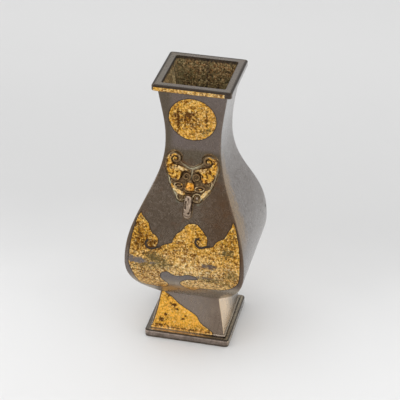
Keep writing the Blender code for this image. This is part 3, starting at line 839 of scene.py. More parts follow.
    gilt = gilding(nodes, place, gold, nodes.attribute("crowding"))
    green = corrosion(nodes, place, gold)
    crust = green["Mask"] * 0.7
    tones = nodes.layered(patina["Color"], [
        (neck, neck_tone), (olive * 0.55, (0.098, 0.080, 0.052)), (below, (0.205, 0.183, 0.176)),
        (rust * 0.6, (0.092, 0.048, 0.022)), (sideways * 0.8, flank_sheen), (rim, (0.192, 0.172, 0.145)),
        (lip_edge * 0.95, (0.028, 0.019, 0.012)), (band * speckled, (0.36, 0.245, 0.130)),
        (pitted, (0.012, 0.009, 0.007)), (heel, heel_patina_and_highlight), (foot, (0.28, 0.215, 0.160)),
        (arris, (0.20, 0.15, 0.11)), (plinth_grime_and_light, plinth_grime_and_lit_front), (ledge, ledge_tone),
        (base_edge_shade, (0.042, 0.031, 0.022)), (crevice_shade, (0.030, 0.022, 0.015)),
        # the painted floor light on downward faces, then the painted shadow line round the gilding
        (upward.step(-0.25, -0.6) * 0.75, floor_light_tone), (gilt["Line"] * 0.75, (0.025, 0.018, 0.013)),
        (gilt["Mask"], gilt["Color"]), (crust, green["Color"]),
    ])
    rough = nodes.between(gilt["Mask"], patina["Roughness"], gilt["Roughness"])
    metallic = nodes.between(gilt["Mask"], 0.85, 1.0)

    # wax left on the sides
    waxed = sideways * cloud.span(0.3, 0.7, 0.75, 1.0) * (1.0 - band * 0.8) * (1.0 - heel * rubbed_and_lit * 0.7)
    waxed = waxed * nodes.noise(place, 480.0, 4.0, 0.8).span(0.38, 0.52, 0.25, 1.0) * (1.0 - pitted)
    finish_surface(nodes, patina["Height"] + gilt["Height"], 0.06 * MM, {
        "Base Color": tones, "Roughness": rough + crust * 0.3 + pitted * 0.7,
        "Metallic": metallic * (1.0 - crust) * (1.0 - pitted),
        "Coat Weight": waxed, "Coat IOR": 1.6, "Coat Roughness": 0.25,
    })
    return material


def inside_material():
    """The inside: mottled brown and green corrosion, rusty near the rim, with a dark seam at the back and
    painted shade just under the rim.
    """
    material, nodes, place = start_material("corroded_inside")
    x, y, z = nodes.split(place)
    broad = nodes.noise(place, 150.0, 4.0, 0.7, 0.6)
    small = nodes.noise(place, 620.0, 4.0, 0.8)
    grit = nodes.noise(place, 950.0, 3.0, 0.7)
    other = nodes.noise(place, 700.0, 3.0, 0.75, Location=(0.4, 0.2, 0.7))
    upper = (broad * 0.016 + z).step(0.162, 0.174)
    rust = (upper * 0.09 + other).step(0.54, 0.66)
    dark = (grit * 0.4 + small * 0.6).step(0.51, 0.42)
    leftward = x.step(-0.009, -0.014) * y.span(-0.008, 0.012, 0.3, 1.0)
    amount = leftward * 0.16 + small * 0.85
    green = nodes.group("Verdigris", {"Vector": place, "Amount": amount, "Tint": (0.50, 0.39, 0.18)})

    # a pale patch and a dark line on the left wall, and a broken seam down the back
    leftmost = x.step(-0.0118, -0.0130)
    drift = (broad - 0.5) * 0.005 + y
    pale_patch = drift.step(0.001, 0.004) * drift.step(0.0095, 0.0080) * leftmost
    pale_patch = pale_patch * z.step(0.1672, 0.160) * grit.span(0.40, 0.60, 0.15, 0.95)
    dark_line = abs(drift - 0.0102).step(0.0009, 0.0003) * leftmost
    wander = nodes.noise(place, 260.0, 4.0, 0.7) * 0.0045 - 0.0017
    seam = abs(x - wander).step(0.0009, 0.0002) * y.step(0.0, 0.008) * other.step(0.38, 0.52)

    tones = nodes.mix(broad.step(0.38, 0.62), (0.142, 0.088, 0.033), (0.160, 0.122, 0.047))
    tones = nodes.layered(tones, [
        (rust * 0.9, (0.34, 0.155, 0.05)), (green["Mask"] * 0.6, green["Color"]),
        (grit.step(0.54, 0.63) * 0.85, (0.62, 0.45, 0.22)), (dark * 0.9, (0.020, 0.014, 0.008)),
        (pale_patch, (0.74, 0.57, 0.30)), (dark_line * 0.8, (0.02, 0.014, 0.01)), (seam * 0.75, (0.02, 0.014, 0.01)),
        # painted shade: a dark band just under the mouth's inner edge
        (z.step(0.1672, 0.1690) * 0.9, (0.020, 0.014, 0.010)),
    ])
    finish_surface(nodes, small + grit * 0.6 - seam, 0.4 * MM, {
        "Base Color": tones, "Roughness": small.span(0.3, 0.7, 0.65, 0.9),
        "Metallic": broad.span(0.3, 0.7, 0.1, 0.0), "Specular IOR Level": 0.2,
    })
    return material


def mask_material(gold):
    """The masks: gilding left on the raised forms, dark patina between with painted shade in the hollows,
    pale solder round the edge.
    """
    material, nodes, place = start_material("gilt_mask")
    hollow = nodes.attribute("hollow")
    blotched = nodes.noise(place, 480.0, 3.0, 0.7).span(0.35, 0.65, 0.35, 1.0)
    scuffed = nodes.noise(place, 600.0, 3.0, 0.65).span(0.3, 0.7, 0.35, 1.0)
    patina = nodes.group("Bronze patina", {
        "Vector": place, "Dark": (0.078, 0.044, 0.018), "Light": (0.215, 0.140, 0.068), "Warmth": 0.8,
        "Streaks": 0.2,
    })
    bare = nodes.attribute("bare").step(-0.3, 0.4)
    loop_tone = nodes.mix(scuffed, (0.19, 0.135, 0.095), (0.47, 0.36, 0.27))
    # painted shade: the loop's hollows are painted near black
    loop_tone = nodes.mix(hollow.step(0.0, 0.35), loop_tone, (0.06, 0.04, 0.03))
    glint = nodes.attribute("glint").step(-0.1, 0.15) * hollow.step(0.05, -0.12)
    scraps = nodes.noise(place, 700.0, 3.0, 0.7, Location=(0.2, 0.5, 0.1)).step(0.55, 0.64)
    crowding = nodes.noise(place, 480.0, 3.0, 0.65).step(0.47, 0.62) * nodes.attribute("crowding") + 0.2
    gilt = gilding(nodes, place, gold, crowding)
    left = gilt["Mask"] * (1.0 - hollow.step(0.06, 0.22))
    rosy = nodes.mix(nodes.attribute("ruddiness"), gilt["Color"], (1.0, 0.80, 0.70), "MULTIPLY")
    green = corrosion(nodes, place, gold)
    crust = green["Mask"] * 0.85
    edging = nodes.attribute("pale_rim") * scuffed.span(0.35, 1.0, 0.25, 1.0) * (1.0 - left * 0.8)
    tones = nodes.layered(patina["Color"], [
        # painted shade darkens the hollows; the raised crests are painted lighter
        (hollow.step(0.04, 0.34), (0.050, 0.026, 0.010)),
        (hollow.step(-0.02, -0.16) * blotched, (0.27, 0.165, 0.075)), (bare * 0.9, loop_tone),
        (glint * blotched, (0.70, 0.55, 0.32)), (scraps * (0.7 - bare * 0.7), (0.40, 0.27, 0.12)),
        (left, rosy), (crust, green["Color"]), (edging, (0.58, 0.53, 0.36)),
    ])
    rough = nodes.between(left, patina["Roughness"], gilt["Roughness"])
    finish_surface(nodes, patina["Height"] + gilt["Height"], 0.06 * MM, {
        "Base Color": tones, "Roughness": rough + crust * 0.25,
        "Metallic": nodes.between(left, 0.8, 0.95) * (1.0 - crust),
    })
    return material


def floor_material(floor_colour):
    """The floor, with painted light: a little brighter in front and behind."""
    material, nodes, place = start_material("studio_floor")
    _, y, _ = nodes.split(place)
    depth = nodes.noise(place, 6.0, 3.0, 0.5) * 0.1 + y
    # painted light: near and in front of the vase the floor is painted brighter, and a little brighter far
    # behind
    brighter, further = ([share * part for part in floor_colour[:3]] for share in (1.28, 1.08))
    tones = nodes.mix(depth.step(0.2, 0.5), floor_colour, further)
    grain = nodes.noise(place, 900.0, 2.0, 0.5)
    finish_surface(nodes, grain, 0.03 * MM, {
        "Base Color": nodes.mix(depth.step(0.2, 0.02), tones, brighter),
        "Roughness": grain.span(0.3, 0.7, 0.75, 0.9), "Specular IOR Level": 0.2,
    })
    return material


# The body's tree: a section carried round a square plan with rounded corners.


def plan_side_group():
    """One side of the plan and the corner after it, as points that hold where they lie and face."""
    inputs = {"Columns": 8, "Corner Steps": 6, "Turn": 0.0}
    nodes, given = new_tree("GeometryNodeTree", "Side of the plan", inputs, {"Points": "Geometry"})
    row = nodes.add("GeometryNodeMeshLine", {
        "Count": given["Columns"], "Start Location": (-1, -1, 0), "Offset": (1, -1, 0),
    }, mode="END_POINTS")
    corner = nodes.add("GeometryNodeMeshLine", {
        "Count": given["Corner Steps"] - 1.0, "Start Location": (1, -1, 0), "Offset": (0, 0, 0),
    })
    turn = (nodes.add("GeometryNodeInputIndex") + 1.0) / given["Corner Steps"] * (math.pi / 2)
    sweep = {"X": nodes.math("SINE", turn), "Y": nodes.math("COSINE", turn) * -1.0}

    def store(geometry, value):
        values = {"Geometry": geometry, "Name": "facing", "Value": value}
        return nodes.add("GeometryNodeStoreNamedAttribute", values, data_type="FLOAT_VECTOR", domain="POINT")

    def turned(vector):
        values = {"Vector": vector, "Angle": given["Turn"]}
        return nodes.add("ShaderNodeVectorRotate", values, rotation_type="Z_AXIS")

    both = nodes.node("GeometryNodeJoinGeometry")
    nodes.feed(both.inputs[0], store(corner, nodes.add("ShaderNodeCombineXYZ", sweep)))
    nodes.feed(both.inputs[0], store(row, (0, -1, 0)))
    facing = nodes.add("GeometryNodeInputNamedAttribute", {"Name": "facing"}, data_type="FLOAT_VECTOR")
    spun = store(Field(nodes, both.outputs[0]), turned(facing))
    values = {"Geometry": spun, "Position": turned(nodes.add("GeometryNodeInputPosition"))}
    nodes.node("NodeGroupOutput", {"Points": nodes.add("GeometryNodeSetPosition", values)})
    return nodes.tree


def body_tree(outside, inside):
    """Every row of the section becomes a rounded square at its level; the rows are skinned into one shell."""
    inputs = {
        "Section": "Geometry", "Front Columns": 150, "Back Columns": 44, "Side Columns": 12,
        "Corner Steps": 6, "Unevenness": 0.0,
    }
    nodes, given = new_tree("GeometryNodeTree", "Square vessel", inputs, {"Vessel": "Geometry"})

    def sample(source, value, at, kind="FLOAT"):
        values = {"Geometry": source, "Value": value, "Index": at}
        return nodes.add("GeometryNodeSampleIndex", values, data_type=kind, domain="POINT")

    def named(name, kind="FLOAT"):
        return nodes.add("GeometryNodeInputNamedAttribute", {"Name": name}, data_type=kind)

    def point_count(geometry):
        return nodes.add("GeometryNodeAttributeDomainSize", {"Geometry": geometry}, component="MESH")

    side_group = plan_side_group()
    plan = nodes.node("GeometryNodeJoinGeometry")
    sides = ("Front Columns", "Side Columns", "Back Columns", "Side Columns")
    for i in reversed(range(4)):
        values = {"Columns": given[sides[i]], "Corner Steps": given["Corner Steps"], "Turn": i * math.pi / 2}
        nodes.feed(plan.inputs[0], nodes.add("GeometryNodeGroup", values, node_tree=side_group))
    plan = Field(nodes, plan.outputs[0])
    around = point_count(plan)
    rows = point_count(given["Section"])
    grid = nodes.add("GeometryNodeMeshGrid", {"Vertices X": around + 1.0, "Vertices Y": rows})
    index = nodes.add("GeometryNodeInputIndex")
    column = nodes.math("FLOORED_MODULO", nodes.math("FLOOR", (index + 0.5) / rows), around)
    row = nodes.math("FLOORED_MODULO", index, rows)
    position = nodes.add("GeometryNodeInputPosition")
    place = sample(plan, position, column, "FLOAT_VECTOR")
    facing = sample(plan, named("facing", "FLOAT_VECTOR"), column, "FLOAT_VECTOR")
    half, _, level = nodes.split(sample(given["Section"], position, row, "FLOAT_VECTOR"))
    corner, inner, worked = (
        sample(given["Section"], named(name), row) for name in ("corner", "inside", "worked")
    )
    spot = nodes.vector("SCALE", place, half - corner)
    spot = nodes.vector("ADD", spot, nodes.vector("SCALE", facing, corner))
    spot = nodes.vector("ADD", spot, nodes.add("ShaderNodeCombineXYZ", {"Z": level}))
    sunk = nodes.noise(spot, 45.0, 2.0, 0.5) * given["Unevenness"] * worked
    spot = nodes.vector("SUBTRACT", spot, nodes.vector("SCALE", facing, sunk))
    shell = nodes.add("GeometryNodeSetPosition", {"Geometry": grid, "Position": spot})
    shell = nodes.add(
        "GeometryNodeStoreNamedAttribute", {"Geometry": shell, "Name": "inside", "Value": inner},
        data_type="FLOAT", domain="POINT",
    )
    shell = nodes.add("GeometryNodeMergeByDistance", {"Geometry": shell, "Distance": 1e-6})
    shell = nodes.add("GeometryNodeRealizeInstances", {"Geometry": shell})
    shell = nodes.add("GeometryNodeSetMaterial", {"Geometry": shell, "Material": outside})
    within = nodes.add("FunctionNodeCompare", {0: named("inside"), 1: 0.5}, operation="GREATER_THAN")
    values = {"Geometry": shell, "Selection": within, "Material": inside}
    nodes.node("NodeGroupOutput", {"Vessel": nodes.add("GeometryNodeSetMaterial", values)})
    return nodes.tree


def new_object(name, data):
    made = bpy.data.objects.new(name, data)
    bpy.context.scene.collection.objects.link(made)
    return made


def plain_mesh(source, name):
    """The mesh that an object shows with its modifiers applied; the object itself is removed."""
    bpy.context.view_layer.update()
    graph = bpy.context.evaluated_depsgraph_get()
    mesh = bpy.data.meshes.new_from_object(source.evaluated_get(graph))
    mesh.name = name
    bpy.data.objects.remove(source)
    return mesh


def write_field(mesh, name, values):
    field = mesh.attributes.get(name) or mesh.attributes.new(name, "FLOAT", "POINT")
    field.data.foreach_set("value", np.ascontiguousarray(values, np.float32).ravel())


def gild_front(x, z):
    """Depth inside the gilding of the front, and inside the grooves of its hooks."""
    depth = np.maximum.reduce([
        depth_inside(x, z, WAVES), DISC_RADIUS - np.hypot(x - DISC_CENTRE[0], z - DISC_CENTRE[1]),
        depth_inside(x, z, LIP_BAND, smooth=False), depth_inside(x, z, FOOT_SLOPE),
    ])
    gap = np.minimum.reduce([gap_to(x, z, knots) for knots in HOOKS])
    return depth, np.maximum(HOOK_WIDTH / 2 - gap, FAR_OUTSIDE)


def gild_back(x, z):
    """The plainer gilding of the back, the same to both sides."""
    return np.maximum(depth_inside(np.abs(x), z, BACK_WAVES), DISC_RADIUS - np.hypot(x, z - DISC_CENTRE[1]))


def paint_body(mesh):
    """Store where the gilding, the wear, the stains and the corrosion round the masks lie."""
    places = np.zeros(len(mesh.vertices) * 3)
    mesh.vertices.foreach_get("co", places)
    x, y, z = places.reshape(-1, 3).T / MM
    inside = np.zeros(len(x), np.float32)
    mesh.attributes["inside"].data.foreach_get("value", inside)
    out = (inside < 0.5) & (z > PLINTH_HEIGHT / MM + 0.05)
    wide = np.maximum(np.abs(x), np.abs(y))
    front = out & (-y > wide - 0.9)
    back = out & (y > wide - 0.9)
    names = ("gilding", "groove", "corrosion", *FRONT_PLACES)
    even = {
        "gilding": FAR_OUTSIDE, "groove": FAR_OUTSIDE, "crowding": EVEN_CROWDING, "paleness": EVEN_PALENESS,
    }
    fields = {name: np.full(len(x), even.get(name, 0.0)) for name in names}
    fields["gilding"][front], fields["groove"][front] = gild_front(x[front], z[front])
    for name, patches in FRONT_PLACES.items():
        fields[name][front] += spots(x[front], z[front], patches)
    fields["gilding"][back] = gild_back(x[back], z[back])
    fields["wear"][back] = BACK_WEAR
    fields["paleness"][back] += spots(x[back], z[back], FRONT_PLACES["paleness"][:1])
    for side, sign in ((front, 1.0), (back, -1.0)):
        near = side & (z > 85.0) & (z < 130.0)
        gap = mask_edge_depth(sign * x[near], z[near] - EYE_LEVEL / MM)
        low = spots(np.abs(x[near]), z[near], [(6.4, 97.6, 2.6, 3.4, 0.42)])
        fields["corrosion"][near] = 0.34 * bell(np.minimum(gap, 0.0), 0.9) + low * bell(gap + 1.2, 1.4)
    for name, values in fields.items():
        write_field(mesh, name, values)


class VASE_OT_body(bpy.types.Operator):
    """Make the hollow bronze body with its worn gilding"""

    bl_idname = "vase.body"
    bl_label = "Vase body"

    def execute(self, context):
        settings = context.scene.vase_body
        rows = body_section(settings)
        section = bpy.data.meshes.new("section")
        edges = [(i, i + 1) for i in range(len(rows) - 1)]
        section.from_pydata([(half, 0.0, level) for half, level, _, _ in rows], edges, [])
        write_field(section, "corner", [row[2] for row in rows])
        write_field(section, "inside", [row[3] for row in rows])
        write_field(section, "worked", [
            float(FOOT_BASE < level < COLLAR_LEVEL and within < 0.5 and half > FOOT_HALF - 0.006)
            for half, level, _, within in rows
        ])
        body = new_object("section", section)
        skin = body.modifiers.new("square_vessel", "NODES")
        skin.node_group = body_tree(bronze_material(settings, context.scene.vase_gilding), inside_material())
        for item in skin.node_group.interface.items_tree:
            setting = item.name.lower().replace(" ", "_")
            if item.in_out == "INPUT" and hasattr(settings, setting):
                skin[item.identifier] = getattr(settings, setting)
        mesh = plain_mesh(body, "vase_body_skin")
        if len(mesh.polygons) < 1000:
            raise RuntimeError("the body's tree made no shell")
        paint_body(mesh)
        mesh.shade_smooth()
        mesh.set_sharp_from_angle(angle=math.radians(40))
        made = new_object("vase_body_skin", mesh)
        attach(made, "root")
        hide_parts("vase_body")
        return {"FINISHED"}


# The masks: a field of heights over a flat drawing, laid on the wall. x across, y up from the eyes.

PLATE = [
    (-1.6, 10.0), (0.8, 10.2), (4.4, 12.2), (6.2, 13.6), (6.3, 16.6), (8.8, 18.8), (12.2, 18.6), (15.0, 15.4),
    (15.8, 10.6), (13.8, 4.8), (12.6, 1.4), (11.0, -1.8), (9.4, -4.2), (7.9, -6.2), (6.6, -8.2), (4.4, -8.9),
    (1.8, -8.0), (-1.6, -7.8),
]
HORN = [
    (1.7, 8.3), (4.0, 9.9), (7.2, 10.9), (9.8, 11.4), (11.6, 12.8), (12.2, 14.8), (11.9, 16.6), (13.1, 17.2),
    (14.5, 15.6), (15.2, 12.4), (14.9, 8.6), (13.6, 5.2), (11.2, 2.8), (8.6, 1.9), (6.8, 2.7), (6.0, 4.7),
    (5.6, 6.7), (4.0, 8.0),
]
RIGHT_CHEEK = [
    (6.9, -4.9), (8.1, -2.9), (9.7, -1.7), (11.9, -0.9), (12.1, -2.4), (10.9, -4.6), (9.3, -6.9), (7.7, -6.5),
]
LEFT_CHEEK = [
    (11.2, 0.2), (8.8, -1.8), (6.0, -3.0), (3.0, -3.9), (2.8, -5.4), (4.6, -5.4), (6.8, -4.9), (9.0, -3.8),
    (10.8, -1.9),
]
NOSE = [
    (-2.0, 1.6), (1.9, 1.6), (2.7, 0.0), (2.9, -1.8), (2.0, -3.1), (-0.3, -3.5), (-2.5, -3.0), (-3.2, -1.4),
    (-2.9, 0.4),
]
EAR = [(12.0, 0.3, 1.0, 0.4), (12.6, 1.8, 1.2, 0.5), (12.4, 3.2, 1.0, 0.35)]
LOOP = np.array([(0.0, -5.6), (0.0, -7.8), (0.0, -10.6), (0.0, -13.4), (0.0, -15.2)])
LOOP_HALF = 2.3
LOOP_RIDGE = [
    (0, -5.4, 0.9, 1.0), (0, -7.4, 2.4, 1.1), (0, -10.2, 3.0, 1.2), (0, -13.2, 2.4, 1.15),
    (0, -15.2, 0.8, 1.2),
]
# The loop's slot, crease, chip and groin: their lines, widths and depths
LOOP_CUTS = [
    ([(-1.0, -8.8), (-1.25, -10.4), (-1.0, -12.2)], 0.55, 1.3),
    ([(0.2, -7.2), (0.6, -8.8), (0.4, -10.4)], 0.32, 0.6),
    ([(2.0, -12.6), (1.8, -14.0), (0.7, -15.0)], 0.4, 1.0),
    ([(2.1, -8.2), (1.5, -9.8), (2.2, -11.4)], 0.35, 0.5),
]
RIGHT_BULGE = 1.3
MASK_MIDDLE = 0.25


def plate_depth(x, y):
    """Depth inside the mask's plate, which bulges to its right."""
    x = x - RIGHT_BULGE * np.clip(x / 9.0, 0.0, 1.0) * bell(y - 1.0, 8.0)
    return depth_inside(np.abs(x), y, PLATE)


def mask_edge_depth(x, y):
    """Depth inside the mask's edge: its plate, or the loop that hangs from it."""
    return np.maximum(plate_depth(x, y), LOOP_HALF - near_line(x, y, LOOP)[0])


def loop_relief(x, y):
    """The broken loop, as heights."""
    loop = np.maximum.reduce([
        ridge(x - 0.1, y, LOOP_RIDGE, widen=1.9), boss(x, y, (0.0, -14.6, 0.8), (2.5, 2.0, 1.4)),
        ridge(x, y, [(-0.6, -6.0, 2.6, 0.8), (1.2, -6.5, 2.9, 0.9), (1.5, -8.6, 3.2, 0.8)]),
    ])
    for knots, width, depth in LOOP_CUTS:
        loop = loop - depth * bell(gap_to(x, y, knots), width)
    return loop


def mask_relief(x, y, softness):
    """Heights of the carving above the wall, and the fields that its material reads."""
    plate = plate_depth(x, y)
    edge = mask_edge_depth(x, y)
    side = np.abs(x - MASK_MIDDLE)
    right = x > MASK_MIDDLE
    flat = leaf(plate, 0.95, 0.4)
    raised = [np.where(plate > 0, flat + 0.4 * bell(plate - 0.4, 0.3), flat)]

    # brow and horn: one leaf whose tip curls in, with a rim along its outer side
    horn = depth_inside(side, y, HORN)
    curl = volute_knots((9.6, 15.0), (3.1, 0.6), (1.0, 0.45), 10, 1.35, 1.6)
    raised.append(leaf(horn, 2.2, 0.9) - 0.25 * bell(horn - 1.25, 0.4))
    raised += [ridge(side, y, curl), boss(side, y, (9.6, 15.0, 0.9), (1.3, 1.3, 1.2))]

    # scrolls between the brows
    beside = np.abs(x - 0.7)
    scroll = volute_knots((3.0, 4.9), (2.3, 0.6), (0.65, 0.42), 240, -1.5, 1.9)
    raised += [boss(beside, y, (3.0, 4.9, 0.6), (2.6, 2.6, 0.9)), ridge(beside, y, scroll)]
    scroll_depth = 2.95 - np.hypot(beside - 3.0, y - 4.9)

    # eyes, the left one higher and further out, and the jaw's arcs round a boss, larger to the right
    lid_gap = np.full(x.shape, 9.0)
    ring_gap = np.full(x.shape, 9.0)
    for there, eye, radii, jaw, grow in (
        (right, (5.6, -1.4), (2.8, 1.4), (4.6, -6.5), 1.05),
        (~right, (6.8, -0.6), (2.5, 1.45), (5.5, -6.2), 0.8),
    ):
        lids = oval_knots(eye, radii, 0.16, 1.3, 0.46)
        ring = volute_knots(jaw, (2.35 * grow, 2.35 * grow), (0.42, 0.42), -60, 0.85, 1.35)
        inner_ring = volute_knots(jaw, (1.4 * grow, 1.4 * grow), (0.3, 0.3), 10, 0.6, 1.25)
        forms = [ridge(side, y, knots) for knots in (lids, ring, inner_ring)]
        forms.append(boss(side, y, (*eye, 0.6), (1.8, 0.85, 1.5)))
        forms.append(boss(side, y, (*jaw, 0.7), (0.95 * grow, 0.95 * grow, 1.0)))
        raised += [np.where(there, form, FAR_OUTSIDE) for form in forms]
        lid_gap = np.where(there, gap_to(side, y, lids), lid_gap)
        ring_gap = np.where(there, gap_to(side, y, ring), ring_gap)
    under_eye = [(3.4, -1.6, 1.0, 0.3), (5.2, -2.6, 1.1, 0.35), (7.4, -2.6, 1.1, 0.35), (9.6, -1.2, 1.0, 0.3)]
    raised.append(ridge(side, y, under_eye))

    # nose, lips, cheekbones, cheeks, and ears as small crescents
    nose_line = [(0.2, 3.0, 1.0, 0.9), (0.2, 1.2, 1.5, 1.6), (0.2, -1.2, 1.8, 1.95)]
    cheek = np.where(right, depth_inside(side, y, RIGHT_CHEEK), depth_inside(side, y, LEFT_CHEEK))
    raised += [
        ridge(x, y, [(0.7, 9.6, 0.6, 0.6), (0.6, 5.6, 1.1, 0.5), (0.2, 3.4, 1.1, 0.7)]),
        ridge(x, y, nose_line, widen=1.35), boss(x, y, (0.2, -1.9, 0.9), (3.1, 1.15, 2.2)),
        ridge(side, y, [(0.0, -3.7, 1.2, 0.4), (1.7, -3.6, 1.2, 0.4), (3.2, -3.0, 1.1, 0.4)]),
        leaf(cheek, 1.6, 0.45), ridge(side, y, EAR), boss(side, y, (11.2, 1.7, 0.8), (0.7, 0.9, 0.9)),
    ]
    height = np.maximum.reduce(raised)

    # what is cut in: the mouth, and a line round each scroll
    mouth = boss(x, y, (0.0, -4.9, 0.0), (2.4, 0.7, 1.0))
    height = np.where(mouth > 0, np.minimum(height, 1.3 - mouth), height)
    height = height - 0.7 * bell(scroll_depth + 0.35, 0.3) * (horn > -0.6)

    # the loop, and solder that falls away round the edge
    height = np.maximum(height, loop_relief(x, y))
    skirt = -MASK_SINK + 0.75 * np.clip(1 + edge / SKIRT, 0.0, 1.0) ** 1.5
    height = soften(np.where(edge > 0, np.maximum(height, skirt), skirt), softness)
    cell = abs(x[0, 1] - x[0, 0])
    # how far each point lies below its softened surroundings; the material paints shade into the hollows by
    # it
    hollow = soften(height, round(0.5 / cell**2)) - height
    return height, edge, mask_fields(x, y, plate, horn, cheek, curl, scroll_depth, lid_gap, ring_gap, hollow)


def mask_fields(x, y, plate, horn, cheek, curl, scroll_depth, lid_gap, ring_gap, hollow):
    """Where the mask's gilding, bare metal, glints, corrosion and solder lie."""
    side = np.abs(x - MASK_MIDDLE)
    outer_curl = np.minimum(0.55 - gap_to(side, y, curl), 0.5 * (side - 10.4) + 0.3 * (y - 15.2))
    depth = np.maximum.reduce([
        horn + 0.1, cheek + 0.1, depth_inside(x - 0.2, y, NOSE), outer_curl,
        0.7 - np.hypot(x - 6.4, 1.3 * (y + 1.6)), 0.5 - np.hypot(x + 4.9, y),
        0.9 - np.hypot(side - 9.5, y - 15.1),
    ])
    lit = spots(x, y, [(-8.7, -0.8, 1.5, 1.6, 1.3), (3.6, -1.2, 1.6, 1.3, 1.2), (7.4, -1.9, 1.6, 1.3, 1.0)])
    glint = np.maximum.reduce([
        np.where(lit > 0.5, 0.36 - lid_gap, -1.0), 0.2 - gap_to(side, y, EAR),
        np.where((x > MASK_MIDDLE) & (y > -7.0), 0.36 - ring_gap, -1.0),
        np.where(x + y < -11.8, 0.25 - ring_gap, -1.0),
    ])
    wear = spots(side, y, [(12.2, 7.0, 1.2, 0.8, 0.35)]) + spots(x, y, [
        (-8.8, 2.5, 3.4, 1.0, 1.1), (-6.0, 4.2, 1.0, 1.2, 0.6), (-11.4, 12.6, 0.8, 0.8, 0.3),
        (9.4, 17.6, 2.6, 1.2, 0.8), (6.8, 14.6, 0.9, 1.4, 0.9), (-6.6, 14.6, 0.9, 1.4, 0.9),
        (-8.0, -3.6, 3.0, 1.0, 0.5),
    ])
    paleness = 0.6 * bell(horn - 0.35, 0.3) * (horn > 0) + spots(x, y, [
        (0.2, -3.0, 3.0, 0.7, 0.9), (9.6, -3.6, 3.2, 3.4, 1.9), (-6.6, -3.2, 4.4, 2.4, 1.6),
        (0.2, -0.6, 2.4, 1.2, -0.4), (-6.0, 9.6, 4.5, 1.2, 1.5), (5.0, 9.4, 3.0, 1.2, 1.5),
        (9.0, 14.2, 1.2, 0.9, 0.8), (-11.6, 16.6, 1.6, 1.0, 0.7),
    ])
    bare = LOOP_HALF + 0.2 - near_line(x, y, LOOP[1:])[0]
    bare = np.maximum(bare, 0.9 - np.hypot(x - 4.85, y + 6.5))
    off_loop = np.clip(1 - (bare + 0.4) / 0.6, 0, 1)
    notch = spots(x, y, [
        (0.6, 11.0, 6.0, 2.6, 0.75), (-12.6, 1.0, 1.6, 2.6, 0.6), (-8.4, -4.6, 2.4, 3.0, 0.5),
        (11.8, -0.6, 1.4, 2.4, 0.45), (8.0, -7.0, 1.6, 1.6, 0.3),
    ])
    folds = np.abs(np.sin(1.3 * x + 0.9)) * spots(x, y, [(0.2, 7.4, 2.6, 1.8, 0.5)])
    crust = (0.25 + notch) * bell(plate - 0.45, 0.38) * off_loop
    solder = np.clip(spots(x, y, [
        (0.6, 10.6, 6.0, 2.2, 1.0), (-13.4, 2.0, 2.4, 5.0, 0.8), (-8.6, -5.0, 3.0, 3.0, 0.9),
        (14.8, 6.0, 2.0, 6.0, 0.4), (9.8, -4.6, 3.5, 4.0, 0.9),
    ]), 0.0, 1.0)
    pale_rim = bell(plate - 0.55, 0.3 + 0.65 * solder) * off_loop * (0.25 + 0.75 * solder)
    stem = bell(x - 0.7, 0.4) * np.clip((y - 3.0) / 2.0, 0, 1) * np.clip(10.4 - y, 0, 1)
    return {
        "gilding": np.minimum(depth, 0.25 - scroll_depth), "groove": np.full(x.shape, FAR_OUTSIDE),
        "wear": wear, "stains": 0.2 * wear, "paleness": paleness, "freshness": np.zeros(x.shape),
        "crowding": np.where(horn > -0.3, 2.2, 0.4) * (1 - 0.8 * spots(side, y, [(4.5, 9.3, 4.0, 1.0, 1.0)])),
        "ruddiness": spots(x, y, [(0.2, -0.4, 3.2, 2.2, 1.0), (8.0, 3.0, 3.0, 2.5, 0.5)]),
        "hollow": hollow, "bare": bare, "glint": glint, "pale_rim": np.maximum(pale_rim, 0.7 * stem),
        "corrosion": np.where(horn < -0.2, np.maximum(crust, folds), 0.0),
    }


